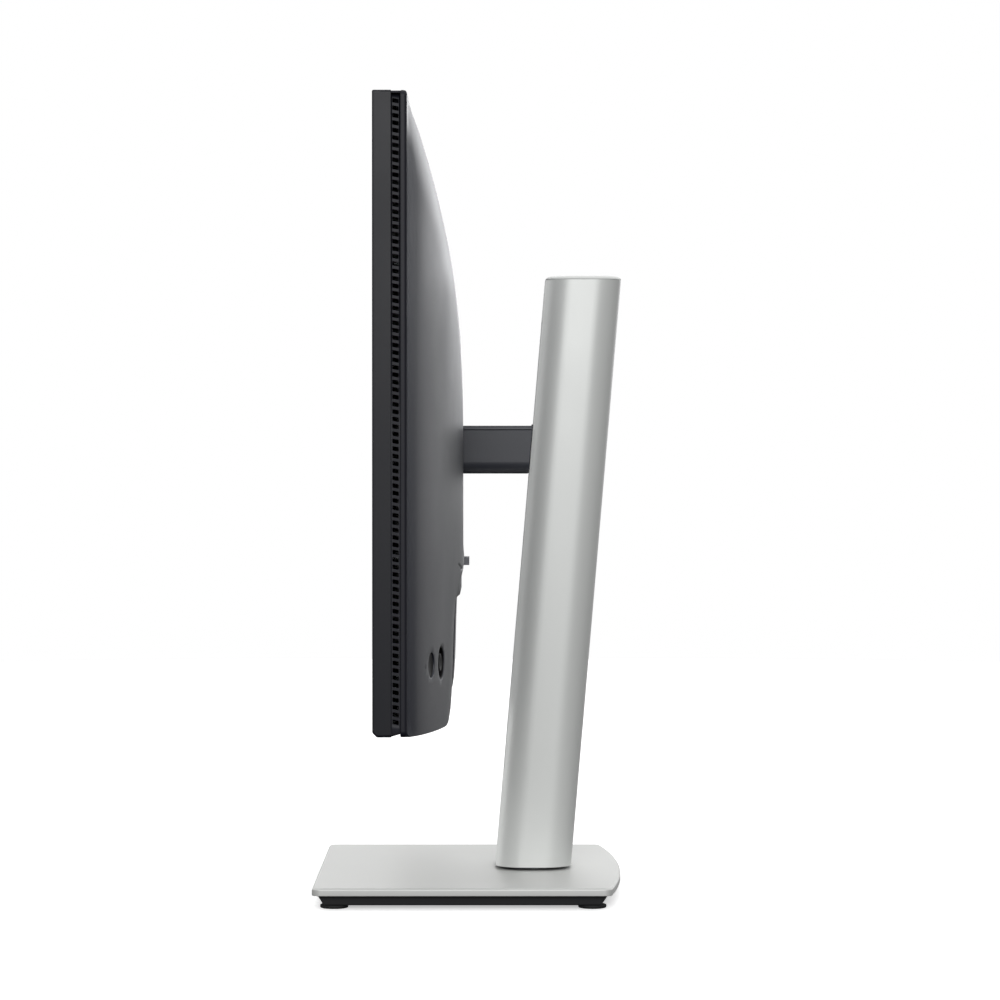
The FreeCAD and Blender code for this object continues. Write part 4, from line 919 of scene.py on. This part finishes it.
def base():
    low, high = span("base_top_plate")
    top, skirt = high.z, low.z
    swivel_y = centre("swivel_hub").y
    rings = [
        base_loop(3.0, skirt), base_loop(0.35, skirt), base_loop(0.1, skirt + 0.1),
        base_loop(0, skirt + 0.35), base_loop(0, top - 1.5), base_loop(0.1, top - 1.15),
        base_loop(0.35, top - 0.8), base_loop(1.15, top - 0.15), base_loop(1.5, top - 0.03),
        base_loop(1.9, top), base_loop(5, top),
    ]
    plate = stack(rings)
    flat = [(x, y) for x, y, _ in rings[-1]]
    hole = circle(0, swivel_y, 10.1, 48)
    face = punched(flat, [hole], frange(-112, 112, 16), frange(-86, 84, 16),
                   lambda x, y: (x, y, top), 2)
    sink = stack([[(x, y, top) for x, y in hole], [(x, y, top - 2.5) for x, y in hole]])
    inner = stack([base_loop(3.0, skirt), base_loop(3.0, top - 2.5)])
    under = punched([(x, y) for x, y, _ in base_loop(3.0, 0)], [hole], [], [],
                    lambda x, y: (x, y, top - 2.5), 2)
    mesh("base_plate_shell", merged(plate, face, sink, inner, under), "base", PLATE,
         ["base_top_plate"], crease=30, weld=0.01)

    floor = span("base_bottom_cover")[0].z
    rings = [
        base_loop(3.3, skirt), base_loop(3.5, skirt - 0.5), base_loop(4.2, skirt - 1.2),
        base_loop(6.6, floor + 1.0), base_loop(7.4, floor + 0.25), base_loop(8.4, floor),
        base_loop(12, floor),
    ]
    tray = stack(rings)
    well, wide = circle(0, swivel_y, 24, 64), circle(0, swivel_y, 24.8, 64)
    face = punched([(x, y) for x, y, _ in rings[-1]], [wide], [], [],
                   lambda x, y: (x, y, floor), 2)
    sides = stack([[(x, y, floor) for x, y in wide], [(x, y, floor + 0.8) for x, y in well],
                   [(x, y, floor + 2.4) for x, y in well]])
    lid = punched([(x, y) for x, y, _ in rings[0]], [well], [], [],
                  lambda x, y: (x, y, skirt), 2)
    up = stack([[(x, y, floor + 2.4) for x, y in well], [(x, y, skirt) for x, y in well]])
    mesh("base_underside", merged(tray, face, sides, up, lid), "base", BLACK,
         ["base_bottom_cover"], crease=30, weld=0.01)

    feet_low, feet_high = span("rubber_feet")
    radius = 8.5
    parts = []
    for x in (feet_low.x + radius, feet_high.x - radius):
        for y in (feet_low.y + radius, feet_high.y - radius):
            place = Matrix.Translation((x, y, 0))
            parts.append(turned([(radius - 0.2, 2.0), (radius, 1.6), (radius, 0.7),
                                 (radius - 0.25, 0.2), (radius - 0.8, 0.0), (2, 0.0)], place))
    mesh("rubber_foot_set", merged(*parts), "base", RUBBER, ["rubber_feet"])


# ---- stage ---------------------------------------------------------------------------------

def stage():
    """A plain pale floor under soft light."""
    ring = [(x, y, 0) for x, y in circle(0, 0, 2.5, 128)]
    data = bpy.data.meshes.new("floor")
    data.from_pydata(ring, [], [tuple(range(128))])
    floor = bpy.data.objects.new("floor", data)
    bpy.context.scene.collection.objects.link(floor)
    paper = surface("floor_paper", (246, 246, 246), 0.8, grain=300, bump=0.02, tint=0.01)
    glow = paper.node_tree.nodes["Principled BSDF"].inputs
    glow["Emission Color"].default_value = (1, 1, 1, 1)
    glow["Emission Strength"].default_value = 0.5
    data.materials.append(paper)
    floor.visible_diffuse = False
    floor.visible_glossy = False

    studio_sky()
    lamp("key", (2.7, 0.05, 1.05), (0, 0.03, 0.3), 42, size=(1.7, 1.1))
    lamp("front", (-1.5, -1.9, 0.8), (0, 0, 0.25), 23, size=(1.6, 1.4), only="column_shell_tube")
    lamp("rear", (-2.2, 1.0, 0.75), (0.1, 0, 0.52), 40, cone=18, radius=0.5)
    arm_pieces = ("arm_trough", "arm_lid")
    lamp("rear_left", (-2.4, 0.5, 0.75), (0.1, 0, 0.52), 40, cone=18, radius=0.5,
         only="back_cover_shell", shaders=arm_pieces)
    lamp("rear_right", (-0.8, 2.2, 0.9), (0.2, 0, 0.52), 72, cone=18, radius=0.4,
         only="back_cover_shell", shaders=arm_pieces)


def studio_sky():
    """White for the camera; for light, a soft sky with a pale backdrop on the far side."""
    world = bpy.data.worlds.new("studio")
    bpy.context.scene.world = world
    world.use_nodes = True
    nodes, links = world.node_tree.nodes, world.node_tree.links
    background = nodes["Background"]
    background.inputs["Color"].default_value = (1, 1, 1, 1)
    where = nodes.new("ShaderNodeTexCoord")
    apart = nodes.new("ShaderNodeSeparateXYZ")
    links.new(where.outputs["Generated"], apart.inputs["Vector"])

    def fade(axis, start, end, level=1.0):
        node = nodes.new("ShaderNodeMapRange")
        node.interpolation_type = "SMOOTHSTEP"
        node.inputs["From Min"].default_value = start
        node.inputs["From Max"].default_value = end
        node.inputs["To Max"].default_value = level
        links.new(apart.outputs[axis], node.inputs["Value"])
        return node.outputs["Result"]

    def joined(operation, a, b):
        node = nodes.new("ShaderNodeMath")
        node.operation = operation
        links.new(a, node.inputs[0])
        links.new(b, node.inputs[1])
        return node.outputs["Value"]

    total = fade("Z", -0.9, 0.3, 0.2)
    total = joined("ADD", total, fade("Z", 0.2, 0.9, 0.75))
    backdrop = joined("MULTIPLY", fade("X", -0.5, -0.9, 0.7), fade("Z", -0.25, 0.0))
    above = joined("MULTIPLY", fade("X", -0.3, -0.8, 0.72), fade("Z", 0.1, 0.5))
    total = joined("ADD", total, joined("ADD", backdrop, above))
    seen = nodes.new("ShaderNodeLightPath")
    level = nodes.new("ShaderNodeMix")
    links.new(seen.outputs["Is Camera Ray"], level.inputs["Factor"])
    links.new(total, level.inputs["A"])
    level.inputs["B"].default_value = 1.0
    links.new(level.outputs["Result"], background.inputs["Strength"])


def lamp(name, place, target, power, size=None, cone=None, radius=0.5, only=None, shaders=()):
    """A rectangular lamp of a size, or a soft spot with a cone.

    It may light one piece only, and then only that piece and the shaders throw its shadows."""
    data = bpy.data.lights.new(name, "AREA" if size else "SPOT")
    if size:
        data.shape = "RECTANGLE"
        data.size, data.size_y = size
    else:
        data.spot_size = math.radians(cone)
        data.spot_blend = 1
        data.shadow_soft_size = radius
    data.energy = power
    data.color = (0.97, 0.98, 1.0) if cone else (1, 1, 1)
    light = bpy.data.objects.new(name, data)
    bpy.context.scene.collection.objects.link(light)
    light.location = place
    light.rotation_mode = "QUATERNION"
    light.rotation_quaternion = (Vector(target) - Vector(place)).to_track_quat("-Z", "Y")
    if only:
        lit = bpy.data.collections.new(f"{name}_lit")
        lit.objects.link(bpy.data.objects[only])
        light.light_linking.receiver_collection = lit
        blockers = bpy.data.collections.new(f"{name}_blockers")
        for piece in (only, *shaders):
            blockers.objects.link(bpy.data.objects[piece])
        light.light_linking.blocker_collection = blockers


def camera():
    """The photograph's viewpoint: from the user's right, level with the arm."""
    distance, turn, dip = 2.3, math.radians(0.125), math.radians(0.784)
    place = Vector((distance, 0.01375, HINGE_Z * MM))
    aim = Vector((-1, math.tan(turn), -math.tan(dip)))
    data = bpy.data.cameras.new("camera")
    data.sensor_width = 36
    data.lens = 131.6
    data.clip_start, data.clip_end = 0.05, 60
    eye = bpy.data.objects.new("camera", data)
    bpy.context.scene.collection.objects.link(eye)
    eye.location = place
    eye.rotation_mode = "QUATERNION"
    eye.rotation_quaternion = aim.to_track_quat("-Z", "Y")
    bpy.context.scene.camera = eye


camera()
dress_cad_nodes()
front_bezel()
vent_frame()
back_cover()
controls()
arm()
column()
base()
stage()
bpy.context.scene.view_settings.view_transform = "Standard"
